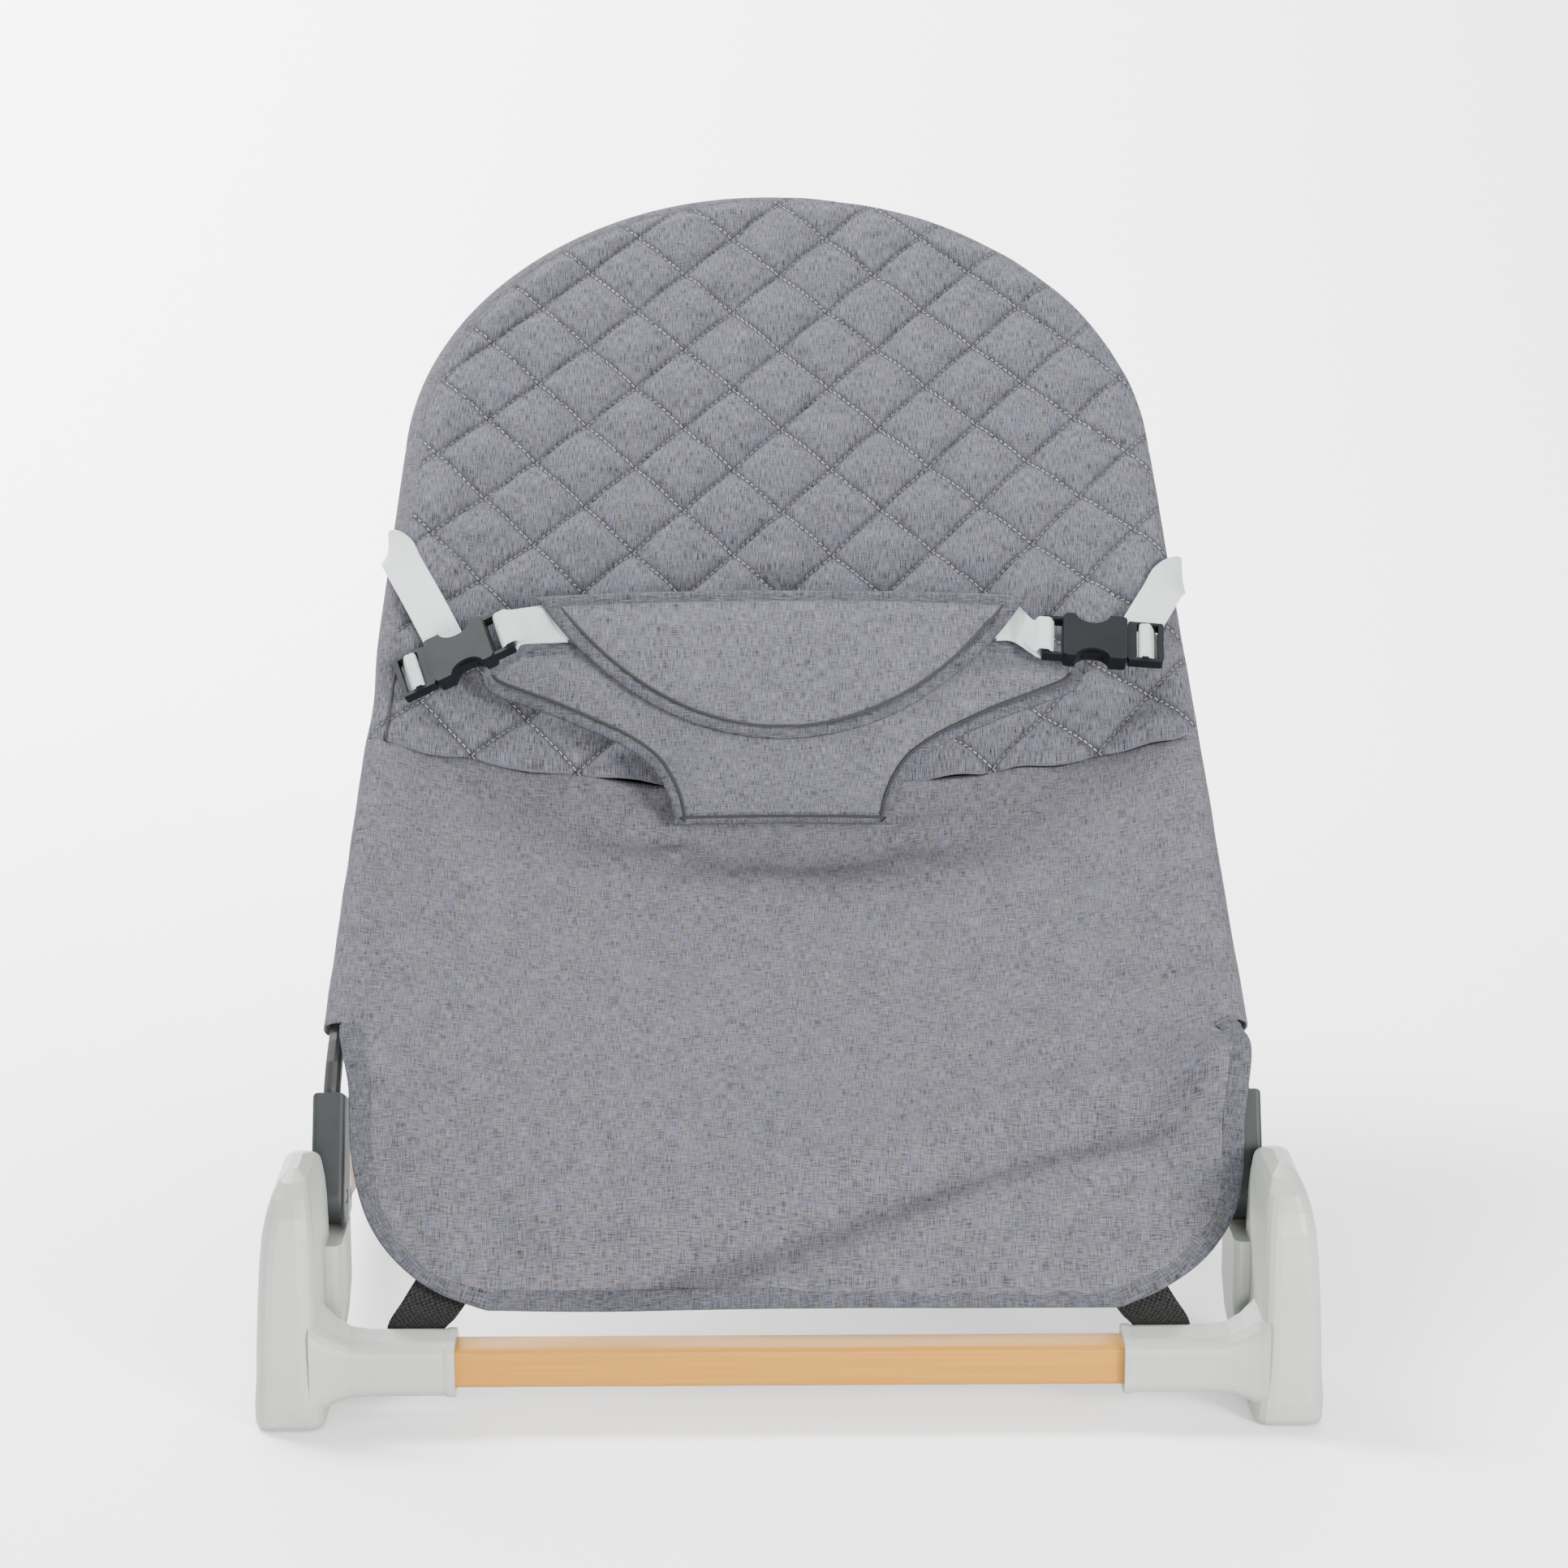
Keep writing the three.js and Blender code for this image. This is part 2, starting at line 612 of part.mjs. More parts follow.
function rodPath() {
  const points = [];
  const straightSteps = 3;
  for (let k = 0; k <= straightSteps; k++) {
    const up = 4 + ((rodStraight - 4) * k) / straightSteps;
    points.push(
      new THREE.Vector3(rodHalfSpan, pivotY - up * Math.sin(bootLean), pivotZ + up * Math.cos(bootLean)),
    );
  }
  const bendSteps = 4;
  for (let k = 1; k <= bendSteps; k++) {
    const turn = (bendTurn * k) / bendSteps;
    const angle = Math.PI + bootLean - turn;
    points.push(
      new THREE.Vector3(
        rodHalfSpan - Math.tan(seatTaper) * rodBend * turn,
        bendCentre.y + rodBend * Math.cos(angle),
        bendCentre.z + rodBend * Math.sin(angle),
      ),
    );
  }
  const sideSteps = 6;
  for (let k = 1; k < sideSteps; k++) {
    const s = (tangentAt * k) / sideSteps;
    points.push(onSeat(rodAt(s), s));
  }
  const headSteps = 12;
  for (let k = 0; k < headSteps; k++) {
    const angle = seatTaper + ((Math.PI / 2 - seatTaper) * k) / headSteps;
    points.push(onSeat(headRadius * Math.cos(angle), headCentre + headRadius * Math.sin(angle)));
  }
  const mirrored = points.map((p) => new THREE.Vector3(-p.x, p.y, p.z)).reverse();
  return new THREE.CatmullRomCurve3([...points, onSeat(0, loopTop), ...mirrored], false, "centripetal");
}

function seatLoop() {
  const section = new THREE.Shape().absarc(0, 0, rodRadius, 0, 2 * Math.PI);
  const along = { steps: 130, curveSegments: 6, bevelEnabled: false, extrudePath: rodPath() };
  const tube = solid(new THREE.ExtrudeGeometry(section, along));
  const half = eyeWidth / 2;
  const eyes = [-1, 1].map((side) => {
    const x = side * rodHalfSpan;
    return rod(x - half, x + half, pivotY, pivotZ, eyeRadius, 28);
  });
  const bores = [-1, 1].map((side) => {
    const x = side * rodHalfSpan;
    return rod(x - half - 1, x + half + 1, pivotY, pivotZ, pinRadius + pinGap, 28);
  });
  return less(union(tube, ...eyes), ...bores);
}

// ---- covers ----

const headEnd = headCentre + (headRadius - rodRadius - coverGap) * 0.965;

function coverPanel(from, to, thick, lift, across, along) {
  return sheet(
    (a, b) => {
      const s = from + (to - from) * b;
      const x = (2 * a - 1) * insideAt(s);
      return onSeat(x, s, fabricAt(x, s) + lift);
    },
    across, along, thick,
  );
}

// The plain panel runs down the rods, then leaves them and hangs to the hem between the boots.
function plainPanel() {
  const edge = new THREE.QuadraticBezierCurve(
    new THREE.Vector2(slopeStart.y, slopeStart.z),
    new THREE.Vector2(
      slopeStart.y - flapLead * Math.cos(seatAngle), slopeStart.z - flapLead * Math.sin(seatAngle),
    ),
    new THREE.Vector2(hem.y, hem.z),
  );
  const onRods = seamAt - gap;
  const hanging = edge.getLength();
  const total = onRods + hanging;
  return sheet(
    (a, b) => {
      const travelled = b * total;
      const share = 1 - 2 * a;
      if (travelled <= onRods) {
        const s = onRods - travelled;
        const x = share * Math.min(insideAt(s), flapHalfWidth + 0.08 * s);
        return onSeat(x, s, fabricAt(x, s));
      }
      const q = Math.min((travelled - onRods) / hanging, 1);
      const round = Math.max((q - hem.cornerStart) / (1 - hem.cornerStart), 0);
      const corner = Math.sqrt(Math.max(1 - round ** 2, 0));
      const halfWidth = hem.halfWidth + (flapHalfWidth - hem.halfWidth) * corner;
      const place = edge.getPointAt(q);
      const sag = sagAt(0) * (1 - q) ** 2 * hollow(share);
      return new THREE.Vector3(
        share * halfWidth, place.x + sag * Math.sin(seatAngle), place.y - sag * Math.cos(seatAngle),
      );
    },
    16, 26, plainThick,
  );
}

// The line down the middle of the harness pad, from the crotch seam up to the top edge.
const padLine = new THREE.QuadraticBezierCurve(...pad.s.map((s, k) => new THREE.Vector2(s, pad.h[k])));

function onPad(x, share, lift = 0) {
  const { x: s, y: h } = padLine.getPoint(share);
  const along = padLine.getTangent(share);
  const drop = pad.wingDrop * (x / pad.wingHalf) ** 2;
  return onSeat(x, s - along.y * lift, h + along.x * lift - drop);
}

function harnessPad() {
  return sheet(
    (a, b) => {
      const flare = THREE.MathUtils.smoothstep(b, 0.3, 0.7);
      const tip = THREE.MathUtils.smoothstep(b, 0.8, 1);
      const halfWidth = pad.neckHalf + (pad.wingHalf - pad.neckHalf) * flare - 16 * tip;
      return onPad((2 * a - 1) * halfWidth, b * pad.end);
    },
    12, 14, pad.thick,
  );
}

function harnessFlap() {
  const rise = (pad.thick + lens.thick) / 2 + 2 * gap;
  return sheet(
    (a, b) => {
      const halfWidth = lens.topHalf * Math.sqrt(0.03 + 0.97 * b);
      return onPad((2 * a - 1) * halfWidth, lens.start + (1 - lens.start) * b, rise);
    },
    12, 10, lens.thick,
  );
}

// ---- buckles and straps ----

// The frame of a buckle: u along the strap, away from the pad, v up the slope, w off the seat.
function buckleFrame(side) {
  const { x, s, h, tilt, yaw } = bucklePlace[side];
  const sign = side === "right" ? 1 : -1;
  const level = acrossSeat.clone().multiplyScalar(sign * Math.cos(tilt));
  level.addScaledVector(slopeUp, sign * Math.sin(tilt));
  const u = level.clone().multiplyScalar(Math.cos(yaw)).addScaledVector(slopeNormal, -Math.sin(yaw));
  const w = slopeNormal.clone().multiplyScalar(Math.cos(yaw)).addScaledVector(level, Math.sin(yaw));
  const v = w.clone().cross(u);
  return new THREE.Matrix4().makeBasis(u, v, w).setPosition(onSeat(x, s, h));
}

function ellipseHole(u, v, halfLong, halfWide, thick) {
  return solid(
    new THREE.CylinderGeometry(1, 1, thick, 28)
      .rotateX(Math.PI / 2)
      .scale(halfLong, halfWide, 1)
      .translate(u, v, 0),
  );
}

function roundedPlate(fromU, toU, halfWidth, thick, corner) {
  const shape = new THREE.Shape();
  shape.moveTo(fromU + corner, -halfWidth);
  shape.lineTo(toU - corner, -halfWidth);
  shape.quadraticCurveTo(toU, -halfWidth, toU, -halfWidth + corner);
  shape.lineTo(toU, halfWidth - corner);
  shape.quadraticCurveTo(toU, halfWidth, toU - corner, halfWidth);
  shape.lineTo(fromU + corner, halfWidth);
  shape.quadraticCurveTo(fromU, halfWidth, fromU, halfWidth - corner);
  shape.lineTo(fromU, -halfWidth + corner);
  shape.quadraticCurveTo(fromU, -halfWidth, fromU + corner, -halfWidth);
  return solid(
    new THREE.ExtrudeGeometry(shape, { ...flat, depth: thick }).translate(0, 0, -thick / 2),
  );
}

function buckleSocket() {
  const b = buckle;
  const body = roundedPlate(b.barEnd, b.bodyEnd, b.width / 2, b.thick, 2.5);
  const frame = roundedPlate(0, b.barEnd + 4, b.frameWidth / 2, b.frameThick, 1.5);
  const strapSlot = block([b.bar, -b.slot / 2, -b.thick], [b.barEnd - 0.5, b.slot / 2, b.thick]);
  const cavity = block(
    [b.barEnd + 3, -b.cavityHalf, -b.cavityThick / 2],
    [b.bodyEnd + 1, b.cavityHalf, b.cavityThick / 2],
  );
  const windows = [-1, 1].map((side) =>
    ellipseHole(b.windowAt, side * (b.width / 2 + 0.6), b.windowHalf, b.windowDepth, b.thick + 2),
  );
  return less(union(body, frame), strapSlot, cavity, ...windows);
}

function buckleTongue() {
  const b = buckle;
  const from = b.bodyEnd + buckleClear;
  const head = roundedPlate(from, b.length, b.frameWidth / 2, b.frameThick, 1.5);
  const tongue = block([b.barEnd + 6, -b.tongueHalf, -1.3], [from + 2, b.tongueHalf, 1.3]);
  const slots = [
    block([from + 4.4, -b.slot / 2, -b.thick], [from + 7.2, b.slot / 2, b.thick]),
    block([from + 7.2 + b.bar, -b.slot / 2, -b.thick], [b.length - b.bar, b.slot / 2, b.thick]),
  ];
  return less(union(head, tongue), ...slots);
}

// A springy side arm of the plug half, with the bulge that shows in the socket's window.
function buckleProng(side) {
  const b = buckle;
  const inner = b.prongInner;
  const outer = b.cavityHalf - buckleClear;
  const root = b.bodyEnd;
  const shape = new THREE.Shape();
  shape.moveTo(root, inner);
  shape.lineTo(root, inner + 2.4);
  shape.quadraticCurveTo(root - 6, inner + 2.2, root - 8, outer);
  shape.lineTo(b.prongTip + 4, outer);
  shape.quadraticCurveTo(b.prongTip, outer, b.prongTip, inner + 1);
  shape.lineTo(b.prongTip + 1.5, inner);
  shape.closePath();
  const arm = new THREE.ExtrudeGeometry(shape, { ...flat, depth: b.prongThick });
  arm.translate(0, 0, -b.prongThick / 2);
  return side === "upper" ? solid(arm) : solid(arm.rotateX(Math.PI));
}

const section = (point, across) => ({ point, across: across.clone() });

// A point in a buckle's frame, and the direction across its strap there.
function buckleSections(side) {
  const frame = buckleFrame(side);
  const across = new THREE.Vector3().setFromMatrixColumn(frame, 1);
  if (side === "left") across.negate();
  return (u, w) => section(new THREE.Vector3(u, 0, w).applyMatrix4(frame), across);
}
const overBar = (buckle.frameThick + webbing.thick) / 2 + gap;

// From under the harness flap round the bar at the near end of the buckle.
function padStrap(side) {
  const sign = side === "right" ? 1 : -1;
  const place = buckleSections(side);
  const edge = sign * (lens.topHalf + 1);
  return ribbon(
    [
      section(onPad(edge, 0.94, 6), slopeUp),
      place(-4, 0.4),
      place(-1.6, overBar - 0.2),
      place(buckle.bar / 2, overBar),
      place(buckle.bar + 1.2, overBar - 0.3),
      place(buckle.bar + 2.9, -0.6),
    ],
    webbing.width, webbing.thick,
  );
}

// Up over the plug's middle bar and down under its end bar, then up the seat, over the rod and behind.
function sideStrap(side) {
  const sign = side === "right" ? 1 : -1;
  const place = buckleSections(side);
  const middleBar = buckle.bodyEnd + buckleClear + 7.2 + buckle.bar / 2;
  const threaded = ribbon(
    [
      place(middleBar - 2.4, -0.6),
      place(middleBar - 2, overBar - 0.4),
      place(middleBar, overBar),
      place(middleBar + 2.1, overBar - 0.4),
      place(middleBar + 5.75, -overBar + 0.4),
      place(middleBar + 7.9, -overBar),
      place(middleBar + 9.4, -overBar - 0.2),
    ],
    webbing.width, webbing.thick,
  );
  const { point: under, across: up } = place(middleBar - 8 + webbing.width / 2, -overBar - 1.2);
  const inwards = new THREE.Vector3().setFromMatrixColumn(buckleFrame(side), 0).negate();
  const turn = (x, s) => new THREE.Vector3(sign * x, 0, 0).addScaledVector(slopeUp, s).normalize();
  const sections = [
    section(under.clone().addScaledVector(up, -4), inwards),
    section(under.clone().addScaledVector(up, 15), inwards),
    section(onSeat(sign * (rodAt(262) - 17), 262, 16), turn(-0.85, 0.5)),
    section(onSeat(sign * (rodAt(strapTop) - 11), strapTop - 12, 11), turn(-0.6, 0.8)),
  ];
  const clear = rodRadius + 3.9;
  for (const turned of [75, 40, 5, -30, -65, -95]) {
    const angle = turned * DEG;
    const x = rodAt(strapTop) + clear * Math.cos(angle);
    sections.push(section(onSeat(sign * x, strapTop, clear * Math.sin(angle)), turn(-0.25, 1)));
  }
  return union(solid(threaded), solid(ribbon(sections, webbing.width, webbing.thick)));
}

// Black webbing that ties the hem down to the back of the front bar's socket.
const tetherTop = { x: 150, y: hem.y + 13.5, z: hem.z + 9 };
const tetherFoot = { x: 166, y: frontBar.y + socketHalf + 1.3, z: frontBar.z + 6 };
function tetherStrap() {
  const across = new THREE.Vector3(0.86, 0, 0.5).normalize();
  const level = new THREE.Vector3(1, 0, 0.12).normalize();
  const { x, y, z } = tetherFoot;
  return ribbon(
    [
      section(new THREE.Vector3(tetherTop.x, tetherTop.y, tetherTop.z), across),
      section(new THREE.Vector3(tetherTop.x + 8, tetherTop.y - 6.7, z + 14), across),
      section(new THREE.Vector3(x, y, z + 5), level),
      section(new THREE.Vector3(x, y, z - 6), level),
    ],
    tether.width, tether.thick,
  );
}

// ---- assembly ----

const model = new THREE.Group();
function add(name, look, made, parent = model) {
  const geometry = made.isBufferGeometry ? made : geometryOf(made);
  const mesh = new THREE.Mesh(geometry, new THREE.MeshStandardMaterial(looks[look]));
  mesh.name = name;
  parent.add(mesh);
  return mesh;
}

for (const side of ["left", "right"]) {
  const group = new THREE.Group();
  group.scale.x = side === "right" ? 1 : -1;
  model.add(group);
  add(`${side}_bracket`, "bracket", bracket(), group);
  add(`${side}_rear_foot`, "bracket", rearFoot(), group);
  add(`${side}_side_rail`, "wood", rail(), group);
  add(`${side}_front_foot_pad`, "rubber", padBlock(frontPadY, footPad.depth), group);
  add(`${side}_rear_foot_pad`, "rubber", padBlock(rearPadY, rearPadDepth), group);
  add(`${side}_pivot_pin`, "fastener", pivotPin(), group);
  add(`${side}_pivot_cap`, "bracket", pivotCap(), group);
  for (const [where, { at, into }] of Object.entries(screws))
    add(`${side}_${where}_screw`, "fastener", solid(screwSolid(at, into)), group);
  add(`${side}_tether_strap`, "tether", tetherStrap(), group);

  const boot = add(`${side}_boot`, "boot", bootSolid(), group);
  boot.position.set(rodHalfSpan, pivotY, pivotZ);
  boot.rotation.x = bootLean;

  const place = new THREE.Group();
  place.applyMatrix4(buckleFrame(side));
  model.add(place);
  add(`${side}_buckle_socket`, "buckle", buckleSocket(), place);
  add(`${side}_buckle_plug`, "buckle", buckleTongue(), place);
  for (const edge of ["upper", "lower"])
    add(`${side}_${edge}_prong`, "buckle", buckleProng(edge), place);
  add(`${side}_pad_strap`, "strap", padStrap(side));
  add(`${side}_side_strap`, "strap", sideStrap(side));
}

add("front_bar", "wood", crossBar(frontBar, screws.front_bar));
add("rear_bar", "wood", crossBar(rearBar, screws.rear_bar));
add("seat_loop", "steel", seatLoop());
add("quilted_panel", "fabric", coverPanel(seamAt, headEnd, quiltThick, 0, 16, 22));
add("plain_panel", "fabric", plainPanel());
const meshLift = -(quiltThick + meshThick) / 2 - coverGap;
add("back_panel", "mesh", coverPanel(seamAt + 20, headEnd - 4, meshThick, meshLift, 12, 16));
add("harness_pad", "fabric", harnessPad());
add("harness_flap", "fabric", harnessFlap());

const bounds = new THREE.Box3().setFromObject(model);
const middle = bounds.getCenter(new THREE.Vector3());
model.position.set(-middle.x, -middle.y, -bounds.min.z);

export default model;
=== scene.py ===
# Bouncer seat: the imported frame's mouldings, bars and buckles get their finishes, and every cloth piece is
# modelled here: the quilted sling, the plain lower panel with its bound hem, the black back, the harness and
# the webbing. Metres, in the frame's own axes: X across, Y from the foot end to the head end, Z up.
import math

import bmesh
import bpy
from mathutils import Matrix, Vector, kdtree, noise


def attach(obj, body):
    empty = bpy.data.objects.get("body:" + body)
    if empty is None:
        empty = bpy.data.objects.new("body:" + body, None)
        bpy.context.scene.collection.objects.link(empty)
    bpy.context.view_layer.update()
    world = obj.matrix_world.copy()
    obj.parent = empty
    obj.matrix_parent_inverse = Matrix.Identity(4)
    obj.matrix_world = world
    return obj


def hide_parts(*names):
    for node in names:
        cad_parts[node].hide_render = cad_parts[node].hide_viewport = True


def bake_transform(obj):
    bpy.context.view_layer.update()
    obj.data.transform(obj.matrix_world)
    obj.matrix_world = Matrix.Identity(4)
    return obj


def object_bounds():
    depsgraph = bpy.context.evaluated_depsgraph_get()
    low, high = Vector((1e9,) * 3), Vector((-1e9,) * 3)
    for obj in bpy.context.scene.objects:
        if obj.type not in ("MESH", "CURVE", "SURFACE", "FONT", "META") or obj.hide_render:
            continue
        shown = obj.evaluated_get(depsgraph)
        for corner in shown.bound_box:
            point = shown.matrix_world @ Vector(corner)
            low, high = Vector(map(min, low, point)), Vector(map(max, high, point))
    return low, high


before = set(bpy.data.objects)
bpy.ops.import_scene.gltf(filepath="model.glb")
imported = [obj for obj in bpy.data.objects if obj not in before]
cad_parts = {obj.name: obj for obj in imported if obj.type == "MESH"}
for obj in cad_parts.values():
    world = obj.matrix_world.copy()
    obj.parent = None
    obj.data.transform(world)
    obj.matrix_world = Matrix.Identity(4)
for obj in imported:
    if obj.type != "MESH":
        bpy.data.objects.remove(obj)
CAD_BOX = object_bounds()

MM = 0.001

# ---- the seat's own geometry, as the frame was designed ----

FRONT = CAD_BOX[0][1]
SEAT_ANGLE = math.radians(38.4)
SEAT_TAPER = math.radians(2.8)
ROD_HALF_SPAN = 207.5 * MM
ROD_BEND = 40 * MM
LOOP_TOP = 559 * MM
SLOPE_START = Vector((0, FRONT + 107.8 * MM, 142.2 * MM))
BEND_TURN = math.radians(27.6)
SLOPE_HALF_SPAN = ROD_HALF_SPAN - math.tan(SEAT_TAPER) * ROD_BEND * BEND_TURN
HEAD_CENTRE = (LOOP_TOP - SLOPE_HALF_SPAN * math.cos(SEAT_TAPER)) / (1 - math.sin(SEAT_TAPER))
HEAD_RADIUS = LOOP_TOP - HEAD_CENTRE
SEAM_AT = 176 * MM
TUNNEL_END = 8 * MM
SLOPE_UP = Vector((0, math.cos(SEAT_ANGLE), math.sin(SEAT_ANGLE)))
SLOPE_NORMAL = Vector((0, -math.sin(SEAT_ANGLE), math.cos(SEAT_ANGLE)))
ACROSS = Vector((1, 0, 0))
SLEEVE = 6.6 * MM  # from the rod's axis to the outside of the cover


def on_seat(x, s, h=0.0):
    """A point of the seat: x across, s up the slope, h off the plane of the rods."""
    return Vector((x, 0, 0)) + SLOPE_START + SLOPE_UP * s + SLOPE_NORMAL * h


def rod_at(s):
    """Half the distance between the rod axes, on the straight sides."""
    return SLOPE_HALF_SPAN - math.tan(SEAT_TAPER) * s


def smooth(low, high, value):
    t = min(max((value - low) / (high - low), 0.0), 1.0)
    return t * t * (3 - 2 * t)


def bump(value, centre, width):
    return math.exp(-(((value - centre) / width) ** 2))


def sag_at(s):
    return 33 * MM * math.exp(-(((s - 150 * MM) / (190 * MM)) ** 2))


def curve_through(knots, t):
    """A smooth value at t through (t, value) knots in rising order."""
    if t <= knots[0][0]:
        return knots[0][1]
    for k in range(len(knots) - 1):
        (t0, v0), (t1, v1) = knots[k], knots[k + 1]
        if t <= t1:
            before = knots[k - 1] if k else knots[k]
            after = knots[k + 2] if k + 2 < len(knots) else knots[k + 1]
            m0 = (v1 - before[1]) / (t1 - before[0])
            m1 = (after[1] - v0) / (after[0] - t0)
            w, step = (t - t0) / (t1 - t0), t1 - t0
            return (
                (2 * w**3 - 3 * w**2 + 1) * v0 + (w**3 - 2 * w**2 + w) * step * m0
                + (-2 * w**3 + 3 * w**2) * v1 + (w**3 - w**2) * step * m1
            )
    return knots[-1][1]


# ---- camera, light and floor ----


def stage():
    look_at = Vector((0, FRONT + 200 * MM, 243.5 * MM))
    pitch, azimuth, distance = math.radians(13.75), math.radians(0.8), 1.6364
    view = Vector((
        math.sin(azimuth) * math.cos(pitch), math.cos(azimuth) * math.cos(pitch), -math.sin(pitch),
    ))
    camera = bpy.data.objects.new("camera", bpy.data.cameras.new("camera"))
    camera.data.sensor_width = 36
    camera.data.lens = 36 * 4215 / 1932
    camera.location = look_at - view * distance
    camera.rotation_euler = (math.pi / 2 - pitch, 0, -azimuth)
    bpy.context.scene.collection.objects.link(camera)
    bpy.context.scene.camera = camera

    world = bpy.data.worlds.new("studio")
    bpy.context.scene.world = world
    world.use_nodes = True
    back = world.node_tree.nodes["Background"]
    back.inputs["Color"].default_value = (0.96, 0.98, 1.0, 1)
    back.inputs["Strength"].default_value = 0.95

    def softbox(name, place, aim, size, power, colour=(1, 1, 1)):
        lamp = bpy.data.lights.new(name, "AREA")
        lamp.shape = "RECTANGLE"
        lamp.size, lamp.size_y = size
        lamp.energy, lamp.color = power, colour
        box = bpy.data.objects.new(name, lamp)
        box.location = place
        box.rotation_euler = (Vector(aim) - Vector(place)).to_track_quat("-Z", "Y").to_euler()
        bpy.context.scene.collection.objects.link(box)

    softbox("key_softbox", (1.5, -2.1, 0.85), (0, 0, 0.25), (0.7, 0.7), 140, (1, 0.985, 0.96))
    softbox("low_softbox", (0.1, -2.6, 0.42), (0, 0, 0.2), (1.2, 0.5), 62, (1, 0.975, 0.94))
    softbox("fill_softbox", (-1.9, -1.8, 1.0), (0, 0, 0.25), (1.4, 1.4), 16, (0.96, 0.98, 1))
    softbox("top_softbox", (0.5, 0.9, 2.4), (0, 0.1, 0.2), (1.6, 1.2), 34)
    softbox("backdrop_softbox", (-1.6, 0.9, 2.5), (-1.2, 2.4, 0.6), (2.0, 1.2), 430)

    profile = [(y, 0.0) for y in (-3.5, -1.5, 0.0, 1.2)]
    turns = (math.pi / 2 * k / 16 for k in range(1, 17))
    profile += [(1.2 + 1.4 * math.sin(turn), 1.4 - 1.4 * math.cos(turn)) for turn in turns]
    profile += [(2.6, 4.5)]
    bm = bmesh.new()
    bmesh.ops.create_grid(bm, x_segments=2, y_segments=len(profile) - 1, size=0.5)
    for vert in bm.verts:
        y, z = profile[round((vert.co.y + 0.5) * (len(profile) - 1))]
        vert.co = Vector((vert.co.x * 14, y, z))
    for face in bm.faces:
        face.smooth = True
    floor = bpy.data.objects.new("floor", bpy.data.meshes.new("floor"))
    bm.to_mesh(floor.data)
    bm.free()
    bpy.context.scene.collection.objects.link(floor)
    paint = material("pale_floor", (0.88, 0.885, 0.89), 0.6)
    floor.data.materials.append(paint)


# ---- node helpers and shared effects ----


def wire(tree, target, socket, value):
    """A number, a colour or another node's output goes into a node's socket."""
    if isinstance(value, bpy.types.NodeSocket):
        tree.links.new(value, target.inputs[socket])
    else:
        target.inputs[socket].default_value = value


def math_node(tree, operation, a, b=0.0, c=0.0):
    node = tree.nodes.new("ShaderNodeMath")
    node.operation = operation
    for slot, value in enumerate((a, b, c)):
        wire(tree, node, slot, value)
    return node.outputs[0]


def mix_colours(tree, share, a, b, way="MIX"):
    node = tree.nodes.new("ShaderNodeMix")
    node.data_type, node.blend_type = "RGBA", way
    wire(tree, node, 0, share)
    wire(tree, node, 6, a)
    wire(tree, node, 7, b)
    return node.outputs[2]


def stretched_noise(tree, vector, scale, detail=2.0, roughness=0.55):
    """Noise whose grain is as wide as 1/scale in each direction."""
    mapping = tree.nodes.new("ShaderNodeMapping")
    mapping.vector_type = "POINT"
    mapping.inputs["Scale"].default_value = scale
    tree.links.new(vector, mapping.inputs["Vector"])
    grain = tree.nodes.new("ShaderNodeTexNoise")
    grain.inputs["Scale"].default_value = 1.0
    grain.inputs["Detail"].default_value = detail
    grain.inputs["Roughness"].default_value = roughness
    tree.links.new(mapping.outputs[0], grain.inputs["Vector"])
    return grain.outputs[0]


def spread(tree, value, low, high, to_low=0.0, to_high=1.0):
    node = tree.nodes.new("ShaderNodeMapRange")
    wire(tree, node, 0, value)
    for slot, edge in enumerate((low, high, to_low, to_high), start=1):
        node.inputs[slot].default_value = edge
    return node.outputs[0]


def new_group(name, inputs, outputs):
    group = bpy.data.node_groups.new(name, "ShaderNodeTree")
    for label, kind, value in inputs:
        socket = group.interface.new_socket(label, in_out="INPUT", socket_type=kind)
        if value is not None:
            socket.default_value = value
    for label, kind in outputs:
        group.interface.new_socket(label, in_out="OUTPUT", socket_type=kind)
    return group, group.nodes.new("NodeGroupInput"), group.nodes.new("NodeGroupOutput")


def heather_group():
    """Melange cloth: slubs along both threads, cool and warm flecks, and the height of the weave."""
    group, given, made = new_group(
        "heather_weave",
        [("Vector", "NodeSocketVector", None), ("Dark", "NodeSocketColor", (0.1, 0.1, 0.11, 1)),
         ("Light", "NodeSocketColor", (0.4, 0.4, 0.42, 1)), ("Streak", "NodeSocketFloat", 0.5)],
        [("Color", "NodeSocketColor"), ("Height", "NodeSocketFloat")],
    )
    at = given.outputs["Vector"]
    warp = stretched_noise(group, at, (2500, 170, 1), 2.0, 0.6)
    weft = stretched_noise(group, at, (180, 2500, 1), 2.0, 0.6)
    cloudy = stretched_noise(group, at, (60, 60, 1), 2.0, 0.6)
    crossing = math_node(group, "SUBTRACT", warp, weft)
    threads = math_node(group, "MULTIPLY_ADD", crossing, given.outputs["Streak"], weft)
    tone = math_node(group, "MULTIPLY_ADD", math_node(group, "SUBTRACT", cloudy, 0.5), 0.10, threads)
    shade = mix_colours(group, spread(group, tone, 0.33, 0.64), given.outputs["Dark"], given.outputs["Light"])
    cool = spread(group, stretched_noise(group, at, (1400, 110, 1), 1.0), 0.54, 0.7, 0.0, 0.4)
    warm = spread(group, stretched_noise(group, at, (140, 1400, 7), 1.0), 0.56, 0.72, 0.0, 0.4)
    shade = mix_colours(group, cool, shade, (0.075, 0.095, 0.16, 1))
    shade = mix_colours(group, warm, shade, (0.15, 0.115, 0.09, 1))
    group.links.new(shade, made.inputs["Color"])
    group.links.new(math_node(group, "ADD", warp, weft), made.inputs["Height"])
    return group


